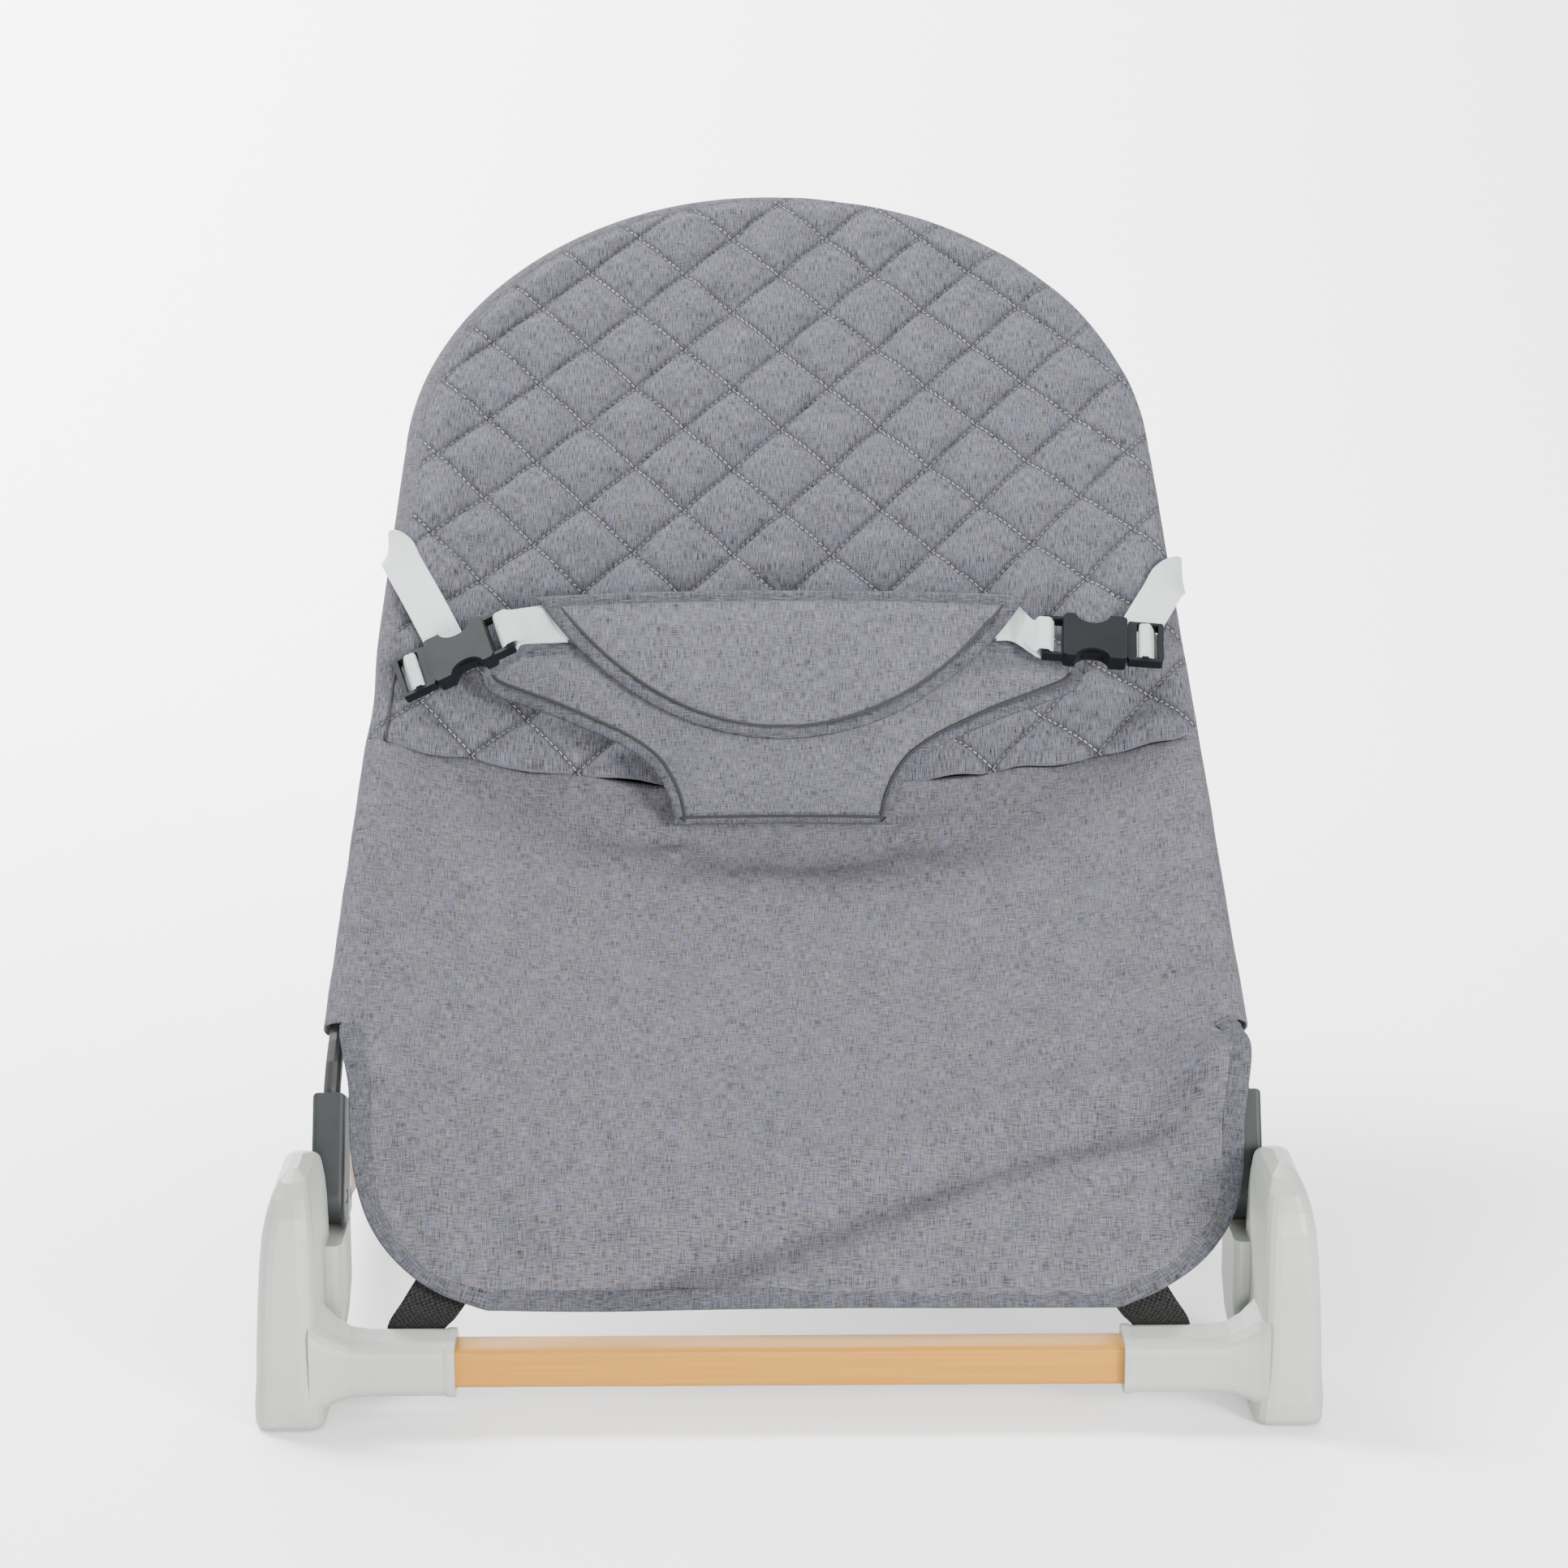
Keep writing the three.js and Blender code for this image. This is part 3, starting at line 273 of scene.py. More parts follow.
def webbing_group():
    """Flat woven tape: ribs across it and threads along it. The vector runs across, then along, in metres."""
    group, given, made = new_group(
        "webbing_weave", [("Vector", "NodeSocketVector", None), ("Pitch", "NodeSocketFloat", 0.0016)],
        [("Height", "NodeSocketFloat"), ("Mask", "NodeSocketFloat")],
    )
    parts = group.nodes.new("ShaderNodeSeparateXYZ")
    group.links.new(given.outputs["Vector"], parts.inputs[0])
    turns = math_node(group, "DIVIDE", math.tau, given.outputs["Pitch"])
    along = math_node(group, "SINE", math_node(group, "MULTIPLY", parts.outputs[1], turns))
    across = math_node(group, "SINE", math_node(group, "MULTIPLY", parts.outputs[0], turns))
    weave = math_node(group, "MULTIPLY", along, across)
    group.links.new(weave, made.inputs["Height"])
    fuzz = stretched_noise(group, given.outputs["Vector"], (900, 500, 1))
    fuzzy = math_node(group, "MULTIPLY_ADD", weave, 0.25, fuzz)
    group.links.new(spread(group, fuzzy, 0.2, 0.8), made.inputs["Mask"])
    return group


def moulded_group():
    """Spark-eroded plastic: a fine pebble, and a slow drift in shade from handling."""
    group, given, made = new_group(
        "moulded_skin", [("Vector", "NodeSocketVector", None), ("Pebble", "NodeSocketFloat", 2200.0)],
        [("Height", "NodeSocketFloat"), ("Wear", "NodeSocketFloat")],
    )
    grain = group.nodes.new("ShaderNodeTexNoise")
    grain.inputs["Detail"].default_value = 2
    group.links.new(given.outputs["Vector"], grain.inputs["Vector"])
    group.links.new(given.outputs["Pebble"], grain.inputs["Scale"])
    group.links.new(grain.outputs[0], made.inputs["Height"])
    drift = stretched_noise(group, given.outputs["Vector"], (22, 22, 22), 4, 0.6)
    group.links.new(drift, made.inputs["Wear"])
    return group


def material(name, colour, roughness):
    made = bpy.data.materials.new(name)
    made.use_nodes = True
    shader = made.node_tree.nodes["Principled BSDF"]
    shader.inputs["Base Color"].default_value = (*colour, 1)
    shader.inputs["Roughness"].default_value = roughness
    return made


def shader_of(made):
    return made.node_tree.nodes["Principled BSDF"]


def raise_skin(made, height, strength, distance):
    tree = made.node_tree
    node = tree.nodes.new("ShaderNodeBump")
    node.inputs["Strength"].default_value = strength
    node.inputs["Distance"].default_value = distance
    tree.links.new(height, node.inputs["Height"])
    tree.links.new(node.outputs[0], shader_of(made).inputs["Normal"])


def place_group(tree, group, vector):
    node = tree.nodes.new("ShaderNodeGroup")
    node.node_tree = group
    tree.links.new(vector, node.inputs["Vector"])
    return node


def cloth_vector(tree):
    node = tree.nodes.new("ShaderNodeUVMap")
    node.uv_map = "cloth"
    return node.outputs[0]


def object_vector(tree):
    return tree.nodes.new("ShaderNodeTexCoord").outputs["Object"]


QUILT_WIDE, QUILT_HIGH = 51.6 * MM, 54 * MM  # between the crossings of the quilting, across and up the seat
QUILT_P, QUILT_Q = 0.327, 0.735


def heather(name, dark, light, streak, quilted=False):
    made = material(name, light, 0.92)
    tree = made.node_tree
    shader = shader_of(made)
    shader.inputs["Sheen Weight"].default_value = 0.02
    shader.inputs["Specular IOR Level"].default_value = 0.08
    at = cloth_vector(tree)
    weave = place_group(tree, GROUPS["heather"], at)
    weave.inputs["Dark"].default_value = (*dark, 1)
    weave.inputs["Light"].default_value = (*light, 1)
    weave.inputs["Streak"].default_value = streak
    colour, height = weave.outputs["Color"], weave.outputs["Height"]
    if quilted:
        colour, height = quilting(tree, at, colour, height)
    tree.links.new(colour, shader.inputs["Base Color"])
    raise_skin(made, height, 0.35, 0.0004)
    return made


def quilting(tree, at, colour, height):
    """Diagonal quilting: painted shade darkens a crease along each line, and pale stitches sit in it."""
    parts = tree.nodes.new("ShaderNodeSeparateXYZ")
    tree.links.new(at, parts.inputs[0])
    across = math_node(tree, "DIVIDE", parts.outputs[0], QUILT_WIDE)
    up = math_node(tree, "DIVIDE", parts.outputs[1], QUILT_HIGH)
    falling = math_node(tree, "SUBTRACT", math_node(tree, "ADD", across, up), QUILT_P)
    rising = math_node(tree, "SUBTRACT", math_node(tree, "SUBTRACT", across, up), QUILT_Q)
    for line, along, pale in ((falling, rising, 0.85), (rising, falling, 0.35)):
        wrapped = math_node(tree, "FRACT", math_node(tree, "ADD", line, 0.5))
        away = math_node(tree, "ABSOLUTE", math_node(tree, "SUBTRACT", wrapped, 0.5))
        # painted shade: across each quilting line the colour darkens towards near-black, for the shade in its
        # crease
        crease_shade = spread(tree, away, 0.0, 0.075, 0.72, 0.0)
        colour = mix_colours(tree, crease_shade, colour, (0.012, 0.012, 0.015, 1))
        beat = math_node(tree, "FRACT", math_node(tree, "MULTIPLY", along, 11.0))
        on_line = math_node(tree, "LESS_THAN", away, 0.0075)
        on_beat = math_node(tree, "LESS_THAN", beat, 0.62)
        stitch = math_node(tree, "MULTIPLY", on_line, on_beat)
        colour = mix_colours(tree, math_node(tree, "MULTIPLY", stitch, pale), colour, (0.30, 0.295, 0.28, 1))
        height = math_node(tree, "ADD", height, math_node(tree, "MULTIPLY", stitch, 0.8))
    return colour, height


def webbing(name, dark, light, pitch, roughness):
    made = material(name, light, roughness)
    tree = made.node_tree
    tape = place_group(tree, GROUPS["webbing"], cloth_vector(tree))
    tape.inputs["Pitch"].default_value = pitch
    tone = mix_colours(tree, tape.outputs["Mask"], (*dark, 1), (*light, 1))
    tree.links.new(tone, shader_of(made).inputs["Base Color"])
    raise_skin(made, tape.outputs["Height"], 0.5, 0.0003)
    return made


def moulded(name, dark, light, rough, pebble=2200.0, strength=0.12, gloss=0.5):
    made = material(name, light, rough[0])
    tree = made.node_tree
    skin = place_group(tree, GROUPS["moulded"], object_vector(tree))
    skin.inputs["Pebble"].default_value = pebble
    shader = shader_of(made)
    wear = skin.outputs["Wear"]
    tone = mix_colours(tree, spread(tree, wear, 0.35, 0.65), (*dark, 1), (*light, 1))
    tree.links.new(tone, shader.inputs["Base Color"])
    tree.links.new(spread(tree, wear, 0.3, 0.7, rough[0], rough[1]), shader.inputs["Roughness"])
    shader.inputs["Specular IOR Level"].default_value = gloss
    raise_skin(made, skin.outputs["Height"], strength, 0.0002)
    return made


def wood_look(name, along):
    """Printed foil on steel tube: pale oak with long faint grain, which `along` stretches down the bar."""
    made = material(name, (0.66, 0.45, 0.23), 0.42)
    tree = made.node_tree
    at = object_vector(tree)
    fine = stretched_noise(tree, at, along, 4.0, 0.6)
    broad = stretched_noise(tree, at, tuple(v * 0.3 for v in along), 2.0, 0.5)
    grain = spread(tree, fine, 0.35, 0.7)
    tone = mix_colours(tree, grain, (0.265, 0.112, 0.006, 1), (0.305, 0.142, 0.010, 1))
    tone = mix_colours(tree, spread(tree, broad, 0.5, 0.8, 0.0, 0.35), tone, (0.235, 0.095, 0.008, 1))
    tree.links.new(tone, shader_of(made).inputs["Base Color"])
    tree.links.new(spread(tree, fine, 0.3, 0.7, 0.38, 0.5), shader_of(made).inputs["Roughness"])
    raise_skin(made, fine, 0.06, 0.0002)
    return made


GROUPS = {"heather": heather_group(), "webbing": webbing_group(), "moulded": moulded_group()}
FINISH = {
    "quilt": heather("quilted_heather", (0.004, 0.004, 0.0055), (0.112, 0.113, 0.132), 0.75, quilted=True),
    "plain": heather("plain_heather", (0.005, 0.005, 0.0065), (0.112, 0.110, 0.126), 0.5),
    "harness": heather("harness_heather", (0.006, 0.006, 0.0075), (0.118, 0.119, 0.138), 0.6),
    "binding": heather("bias_binding", (0.005, 0.005, 0.006), (0.075, 0.078, 0.09), 0.5),
    "back": webbing("black_backing", (0.006, 0.006, 0.007), (0.03, 0.03, 0.033), 0.0022, 0.9),
    "white_tape": webbing("white_webbing", (0.36, 0.375, 0.385), (0.43, 0.445, 0.455), 0.0011, 0.5),
    "black_tape": webbing("black_webbing", (0.004, 0.004, 0.004), (0.022, 0.022, 0.022), 0.0024, 0.85),
    "grey_moulding": moulded("grey_moulding", (0.222, 0.237, 0.214), (0.242, 0.256, 0.233), (0.40, 0.48)),
    "dark_boot": moulded(
        "dark_boot", (0.011, 0.012, 0.014), (0.016, 0.018, 0.02), (0.46, 0.56), 1500.0, 0.12, 0.22,
    ),
    "buckle": moulded(
        "dark_acetal", (0.0035, 0.004, 0.0048), (0.006, 0.007, 0.0085), (0.30, 0.38), 3000.0, 0.06, 0.14,
    ),
    "rubber": moulded("grey_rubber", (0.2, 0.2, 0.2), (0.27, 0.27, 0.265), (0.8, 0.95), 900.0, 0.3),
    "steel": moulded(
        "powder_coated_rod", (0.012, 0.012, 0.013), (0.018, 0.018, 0.019), (0.4, 0.5), 2600.0, 0.12, 0.3,
    ),
    "zinc": moulded("zinc_screw", (0.42, 0.43, 0.45), (0.55, 0.56, 0.58), (0.25, 0.4), 1200.0, 0.05),
    "cross_bar_foil": wood_look("wood_look_cross_bar", (14, 700, 700)),
    "rail_foil": wood_look("wood_look_rail", (700, 14, 160)),
    "thread": material("sewing_thread", (0.012, 0.012, 0.014), 0.9),
}
shader_of(FINISH["zinc"]).inputs["Metallic"].default_value = 0.9
for one in ("black_tape", "back"):
    shader_of(FINISH[one]).inputs["Specular IOR Level"].default_value = 0.06
for one in ("cross_bar_foil", "rail_foil"):
    shader_of(FINISH[one]).inputs["Specular IOR Level"].default_value = 0.3


# ---- making pieces ----


def finish_piece(bm, name, finish, slot, body="seat", replaces=(), smooth_faces=True):
    """A bmesh becomes a piece of the object: its finish and the body it rides on; its slot is not used."""
    bmesh.ops.recalc_face_normals(bm, faces=bm.faces)
    for face in bm.faces:
        face.smooth = smooth_faces
    piece = bpy.data.objects.new(name, bpy.data.meshes.new(name))
    bm.to_mesh(piece.data)
    bm.free()
    for one in finish if isinstance(finish, (list, tuple)) else [finish]:
        piece.data.materials.append(FINISH[one])
    bpy.context.scene.collection.objects.link(piece)
    if body:
        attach(piece, body)
    if replaces:
        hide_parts(*replaces)
    return piece


def cloth_grid(across, along, place):
    """A grid of cloth. place(a, b), a and b from 0 to 1, gives a point and its place on the flat cloth."""
    bm = bmesh.new()
    bmesh.ops.create_grid(bm, x_segments=across, y_segments=along, size=0.5)
    flat = bm.loops.layers.uv.new("cloth")
    where = {}
    for vert in bm.verts:
        point, on_cloth = place(vert.co.x + 0.5, vert.co.y + 0.5)
        where[vert] = on_cloth
        vert.co = point
    for face in bm.faces:
        for loop in face.loops:
            loop[flat].uv = where[loop.vert]
    return bm, where


def thicken(bm, thickness):
    """Gives a sheet its wall, half to each side."""
    bmesh.ops.recalc_face_normals(bm, faces=bm.faces)
    bm.normal_update()
    half = thickness / 2
    lift = {vert: vert.normal * half for vert in bm.verts}
    for vert, by in lift.items():
        vert.co += by
    bmesh.ops.solidify(bm, geom=bm.faces[:], thickness=thickness)


def cloth_tube(points, radius, name, finish, slot, sides=8, cyclic=False, body="seat"):
    """A thread, cord edge or piping along points."""
    bm = bmesh.new()
    flat = bm.loops.layers.uv.new("cloth")
    count = len(points)
    rings = []
    for k, point in enumerate(points):
        ahead = points[(k + 1) % count] if cyclic or k + 1 < count else point
        behind = points[k - 1] if cyclic or k else point
        turn = (ahead - behind).to_track_quat("Z", "X").to_matrix().to_4x4()
        ring = bmesh.ops.create_circle(
            bm, segments=sides, radius=radius, matrix=Matrix.Translation(point) @ turn,
        )["verts"]
        rings.append([bm.edges.get((ring[i], ring[(i + 1) % sides])) for i in range(sides)])
    pairs = list(zip(rings, rings[1:])) + ([(rings[-1], rings[0])] if cyclic else [])
    for one, other in pairs:
        bmesh.ops.bridge_loops(bm, edges=one + other)
    if not cyclic:
        bmesh.ops.holes_fill(bm, edges=rings[0] + rings[-1], sides=sides)
    for face in bm.faces:
        for loop in face.loops:
            loop[flat].uv = (loop.vert.co.x + loop.vert.co.y, loop.vert.co.z + loop.vert.co.y)
    return finish_piece(bm, name, finish, slot, body)


# ---- the sling ----

FLAT_EDGE = 2.4 * MM  # how far inside the rod's axis the cloth starts to turn over it
INNER_RADIUS = HEAD_RADIUS - FLAT_EDGE
EDGE_HEIGHT = SLEEVE * 0.93


def head_domain(a, b, low):
    """From the unit square to the panel's outline on the plane of the rods, as x and s."""
    u = 2 * a - 1
    split = (HEAD_CENTRE - low) / (HEAD_CENTRE - low + INNER_RADIUS)
    if b < split:
        s = low + (HEAD_CENTRE - low) * b / split
        return u * (rod_at(s) - FLAT_EDGE), s
    v = (b - split) / (1 - split)
    return (
        u * math.sqrt(1 - v * v / 2) * INNER_RADIUS,
        HEAD_CENTRE + INNER_RADIUS * v * math.sqrt(1 - u * u / 2),
    )


def inset_share(x, s):
    """0 at the rods, 1 down the middle."""
    if s <= HEAD_CENTRE:
        edge = rod_at(s) - FLAT_EDGE
        return max(1 - abs(x) / edge, 0.0)
    return max(1 - math.hypot(x, s - HEAD_CENTRE) / INNER_RADIUS, 0.0)


def hollow(x, s):
    return 1 - (1 - inset_share(x, s)) ** 2.3


def sling_height(x, s):
    """The front of the cloth over the plane of the rods, without its padding."""
    return EDGE_HEIGHT - (sag_at(s) + EDGE_HEIGHT * 0.9) * hollow(x, s)


def seam_groove(s):
    return -2.0 * MM * bump(s, SEAM_AT, 3.2 * MM)


def seam_pucker(x, s):
    """Near the seam both panels wander up and down the slope and pucker across it."""
    edge = smooth(0.0, 0.12, inset_share(x, s))
    near = bump(s, SEAM_AT, 17 * MM) * edge
    long_wave, short_wave = noise.noise(Vector((x * 19, 0.4, 2.0))), noise.noise(Vector((x * 55, 0.4, 6.0)))
    wander = (3.6 * long_wave + 1.6 * short_wave) * MM
    fold = math.sin(x / (13.5 * MM) + 3.0 * noise.noise(Vector((x * 24, 0.7, 1.0))))
    lean = 1.0 + 0.9 * noise.noise(Vector((x * 16, s * 20, 4.0)))
    return wander * near, 1.5 * MM * fold * lean * near * smooth(0.035, 0.075, abs(x))


def quilt_puff(x, s):
    p = x / QUILT_WIDE + s / QUILT_HIGH - QUILT_P
    q = x / QUILT_WIDE - s / QUILT_HIGH - QUILT_Q
    pillow = (abs(math.sin(math.pi * p)) * abs(math.sin(math.pi * q))) ** 0.42
    rumple = noise.noise(Vector((x * 60, s * 60, 1.7)))
    fine = noise.noise(Vector((x * 150, s * 150, 5.1)))
    fade = smooth(SEAM_AT, SEAM_AT + 14 * MM, s)
    puff = 6.8 * MM * pillow * (1 + 0.22 * rumple) + 0.5 * MM * rumple + 0.35 * MM * fine * pillow
    return puff * (0.25 + 0.75 * fade)


def outward(x, s):
    """From the middle of the seat to the nearest rod, as a direction on the plane."""
    if s <= HEAD_CENTRE:
        side = 1 if x > 0 else -1
        return side * math.cos(SEAT_TAPER), math.sin(SEAT_TAPER)
    reach = math.hypot(x, s - HEAD_CENTRE)
    return x / reach, (s - HEAD_CENTRE) / reach


def release_dip(x, s):
    """The left edge lies flatter where the left plug passes when its buckle is let go."""
    return bump(s, 201 * MM, 24 * MM) if x < 0 else 0.0


def wrap_round_rod(bm, where, edges, angles, lay=SLEEVE):
    """Carries the cloth's edge over the rod and round behind it, one ring for each angle from the plane."""
    rim = {}
    for edge in edges:
        for vert in edge.verts:
            x, s = where[vert]
            out = outward(x, s)
            rim[vert] = (x + out[0] * FLAT_EDGE, s + out[1] * FLAT_EDGE, out, (x, s))
    flat = bm.loops.layers.uv["cloth"]
    start = angles[0]
    for angle in angles:
        made = bmesh.ops.extrude_edge_only(bm, edges=edges)["geom"]
        fresh = [g for g in made if isinstance(g, bmesh.types.BMVert)]
        faces = [g for g in made if isinstance(g, bmesh.types.BMFace)]
        partner = {}
        for vert in fresh:
            for edge in vert.link_edges:
                other = edge.other_vert(vert)
                if other in rim and other not in fresh:
                    partner[vert] = other
        next_rim = {}
        for vert, old in partner.items():
            x, s, out, first = rim[old]
            reach = lay - 1.3 * MM * release_dip(x, s)
            rumple = noise.noise(Vector((x * 45, s * 45, 0.3))) * 0.5 * MM
            c, k = math.cos(angle) * (reach + rumple), math.sin(angle) * (reach + rumple)
            vert.co = on_seat(x + out[0] * c, s + out[1] * c, k)
            beyond = FLAT_EDGE + SLEEVE * (start - angle)
            next_rim[vert] = (x, s, out, first)
            where[vert] = (first[0] + out[0] * beyond, first[1] + out[1] * beyond)
        for face in faces:
            for loop in face.loops:
                loop[flat].uv = where[loop.vert]
        edges = [g for g in made if isinstance(g, bmesh.types.BMEdge) and all(v in fresh for v in g.verts)]
        rim = next_rim
    return edges


def rod_side_edges(bm, where, low, high):
    """The edges of the sheet that run along the rods: all its border but what lies at the low or high end."""
    chosen = []
    for edge in bm.edges:
        if len(edge.link_faces) != 1:
            continue
        (_, sa), (_, sb) = (where[v] for v in edge.verts)
        if abs(sa - low) < 1e-6 and abs(sb - low) < 1e-6:
            continue
        if high is not None and abs(sa - high) < 1e-6 and abs(sb - high) < 1e-6:
            continue
        chosen.append(edge)
    return chosen


ROUND = [math.radians(v) for v in (95, 78, 60, 40, 18, -6, -30, -55, -80)]


def quilted_cover():
    def place(a, b):
        x, s = head_domain(a, b, SEAM_AT)
        edge = smooth(0.0, 0.05, inset_share(x, s))
        height = sling_height(x, s) + quilt_puff(x, s) * (0.35 + 0.65 * edge) + seam_groove(s)
        height -= 2.6 * MM * release_dip(x, s) * smooth(0.165, 0.195, -x)
        wander, pucker = seam_pucker(x, s)
        return on_seat(x, s + wander, height + pucker), (x, s)

    bm, where = cloth_grid(150, 156, place)
    wrap_round_rod(bm, where, rod_side_edges(bm, where, SEAM_AT, None), ROUND)
    thicken(bm, 1.0 * MM)
    piece = finish_piece(bm, "quilted_cover", "quilt", "cover", replaces=["quilted_panel"])
    return piece


def edge_strip():
    """The plain strip sewn along the quilted panel's left edge, with its dark seam on the inside."""
    end_turn = math.radians(100)
    straight = HEAD_CENTRE - SEAM_AT
    total = straight + end_turn * HEAD_RADIUS

    def along(b, reach, angle):
        run = b * total
        if run <= straight:
            s = SEAM_AT + run
            x, out = -rod_at(s), (-1.0, 0.0)
        else:
            turn = (run - straight) / HEAD_RADIUS
            out = (-math.cos(turn), math.sin(turn))
            x, s = HEAD_RADIUS * out[0], HEAD_CENTRE + HEAD_RADIUS * out[1]
        c, k = math.cos(angle) * reach, math.sin(angle) * reach
        return x + out[0] * c, s + out[1] * c, k

    def place(a, b):
        fade = (1 - smooth(0.8, 1.0, b)) * smooth(0.0, 0.05, b)
        angle = math.radians(-35 + 157 * a)
        lay = SLEEVE + (1.5 * math.sin(math.pi * min(a * 1.02, 1)) ** 0.4 - 0.3) * MM * fade
        lay -= 2.3 * MM * release_dip(-1, SEAM_AT + b * total)
        x, s, k = along(b, lay, angle)
        return on_seat(x, s, k), (a * 0.022, b * total)

    bm, _ = cloth_grid(16, 160, place)
    thicken(bm, 0.5 * MM)
    finish_piece(bm, "edge_strip", "plain", "cover")
    seam = [on_seat(*along(k / 150, SLEEVE + 0.1 * MM, math.radians(124))) for k in range(148)]
    cloth_tube(seam, 0.8 * MM, "edge_seam", "thread", "cover", sides=6)


def back_cover():
    """Black backing, from rod to rod behind the seat."""
    low = TUNNEL_END + 30 * MM

    def place(a, b):
        x, s = head_domain(a, b, low)
        drop = -SLEEVE * 0.9 - (sag_at(s) + 2 * MM) * hollow(x, s)
        ripple = 0.8 * MM * noise.noise(Vector((x * 25, s * 25, 9.0)))
        return on_seat(x, s, drop + ripple), (x, s)

    bm, _ = cloth_grid(60, 70, place)
    thicken(bm, 0.9 * MM)
    piece = finish_piece(bm, "back_cover", "back", "mesh", replaces=["back_panel"])
    return piece


# ---- the plain lower panel and its flap ----

HEM = Vector((0, FRONT + 28 * MM, 47 * MM))
FLAP_LEAD = 50 * MM
FLAP_CONTROL = SLOPE_START - SLOPE_UP * FLAP_LEAD
FLAP_LENGTH = 126 * MM
FLAP_START = TUNNEL_END


def flap_line(q):
    """The flap's middle line, q from 0 where it leaves the rods to 1 at the hem."""
    start = on_seat(0, FLAP_START)
    return start * (1 - q) ** 2 + FLAP_CONTROL * (2 * q * (1 - q)) + HEM * q * q


def flap_normal(q):
    start = on_seat(0, FLAP_START)
    along = (FLAP_CONTROL - start) * (1 - q) + (HEM - FLAP_CONTROL) * q
    return Vector((1, 0, 0)).cross(-along).normalized()


FLAP_LEFT = [
    (0, 205), (0.12, 202), (0.25, 198.6), (0.5, 196), (0.68, 190), (0.8, 181), (0.9, 167),
    (0.96, 152), (1, 134),
]
FLAP_RIGHT = [
    (0, 206.5), (0.12, 207.5), (0.25, 207.5), (0.33, 206.5), (0.42, 205), (0.5, 204.5), (0.6, 203.5),
    (0.7, 200), (0.8, 192), (0.88, 181), (0.95, 165), (1, 147),
]


# each short fold's centre across the flap, its width, its depth in millimetres and how far it leans
SHORT_FOLDS = [(-0.172, 0.009, 3.6, 0.035), (-0.15, 0.011, -3.4, 0.045), (-0.122, 0.014, 2.6, 0.06)]


def flap_folds(x, q):
    """Soft folds that hang in the flap: one long sweep up to the right, and short ones at the left."""
    sweep = q - (0.93 - 0.62 * smooth(-0.14, 0.22, x))
    lift = -9 * MM * bump(sweep, 0.05, 0.10) + 8 * MM * bump(sweep, -0.13, 0.14)
    lift *= smooth(-0.16, -0.05, x) * smooth(0.0, 0.25, q)
    for centre, width, depth, lean in SHORT_FOLDS:
        run = x - centre - lean * (q - 0.4)
        crest = depth * MM * math.exp(-((run / width) ** 2))
        lift += crest * smooth(0.02, 0.3, q) * (1 - smooth(0.7, 0.98, q))
    lift += 20 * MM * smooth(0.16, 0.197, x) * bump(q, 0.28, 0.19)
    lift += 2.5 * MM * noise.noise(Vector((x * 11, q * 1.6, 3.0))) * smooth(0, 0.3, q)
    return lift + 0.6 * MM * noise.noise(Vector((x * 45, q * 6, 8.0)))


CROTCH = (0.003, 145 * MM)


def crotch_pull(x, s):
    """Where the harness is sewn on, the sling is drawn in and gathers to both sides."""
    dx, ds = x - CROTCH[0], s - CROTCH[1]
    dimple = -8 * MM * math.exp(-((dx / 0.075) ** 2) - (ds / 0.022) ** 2)
    beyond = max(abs(dx) - 0.052, 0.0)
    rays = math.sin(math.atan2(ds, beyond + 0.02) * 9 + 0.7 * math.copysign(1, dx))
    gather = 3.0 * MM * rays * math.exp(-(beyond / 0.05) ** 2)
    gather = gather * math.exp(-((ds - 0.006) / 0.03) ** 2) * smooth(0.046, 0.056, abs(dx))
    ridge = 3.0 * MM * math.exp(-((dx / 0.11) ** 2) - ((ds + 0.034) / 0.016) ** 2)
    return dimple + gather + ridge


def plain_place(total):
    on_rods = SEAM_AT - FLAP_START

    def place(a, b):
        travelled = (1 - b) * total
        u = 2 * a - 1
        if travelled <= on_rods:
            s = SEAM_AT - travelled
            x = u * (rod_at(s) - FLAT_EDGE)
            soft = 1.3 * MM * noise.noise(Vector((x * 14, s * 14, 4.0))) * hollow(x, s)
            fold = flap_folds(x, 0.0) * (1 - smooth(0, 60 * MM, s - FLAP_START))
            wander, pucker = seam_pucker(x, s)
            height = sling_height(x, s) + 0.8 * MM + soft + crotch_pull(x, s) + fold + seam_groove(s) + pucker
            return on_seat(x, s + wander, height), (x, s)
        q = min((travelled - on_rods) / FLAP_LENGTH, 1.0)
        half = curve_through(FLAP_LEFT if u < 0 else FLAP_RIGHT, q) * MM
        x = u * half
        free = sling_height(x * (rod_at(FLAP_START) - FLAT_EDGE) / half, FLAP_START)
        lift = (free + 0.8 * MM) * (1 - smooth(0, 0.75, q)) + flap_folds(x, q)
        return flap_line(q) + Vector((x, 0, 0)) + flap_normal(q) * lift, (x, SEAM_AT - travelled)

    return place


def plain_cover():
    total = SEAM_AT - FLAP_START + FLAP_LENGTH
    rows = 150
    bm, where = cloth_grid(130, rows, plain_place(total))
    side = [
        e for e in bm.edges
        if len(e.link_faces) == 1 and all(where[v][1] >= FLAP_START - 1e-6 for v in e.verts)
        and not all(abs(where[v][1] - SEAM_AT) < 1e-6 for v in e.verts)
    ]
    wrap_round_rod(bm, where, side, ROUND)
    thicken(bm, 1.0 * MM)
    piece = finish_piece(bm, "plain_cover", "plain", "cover", replaces=["plain_panel"])
    return piece


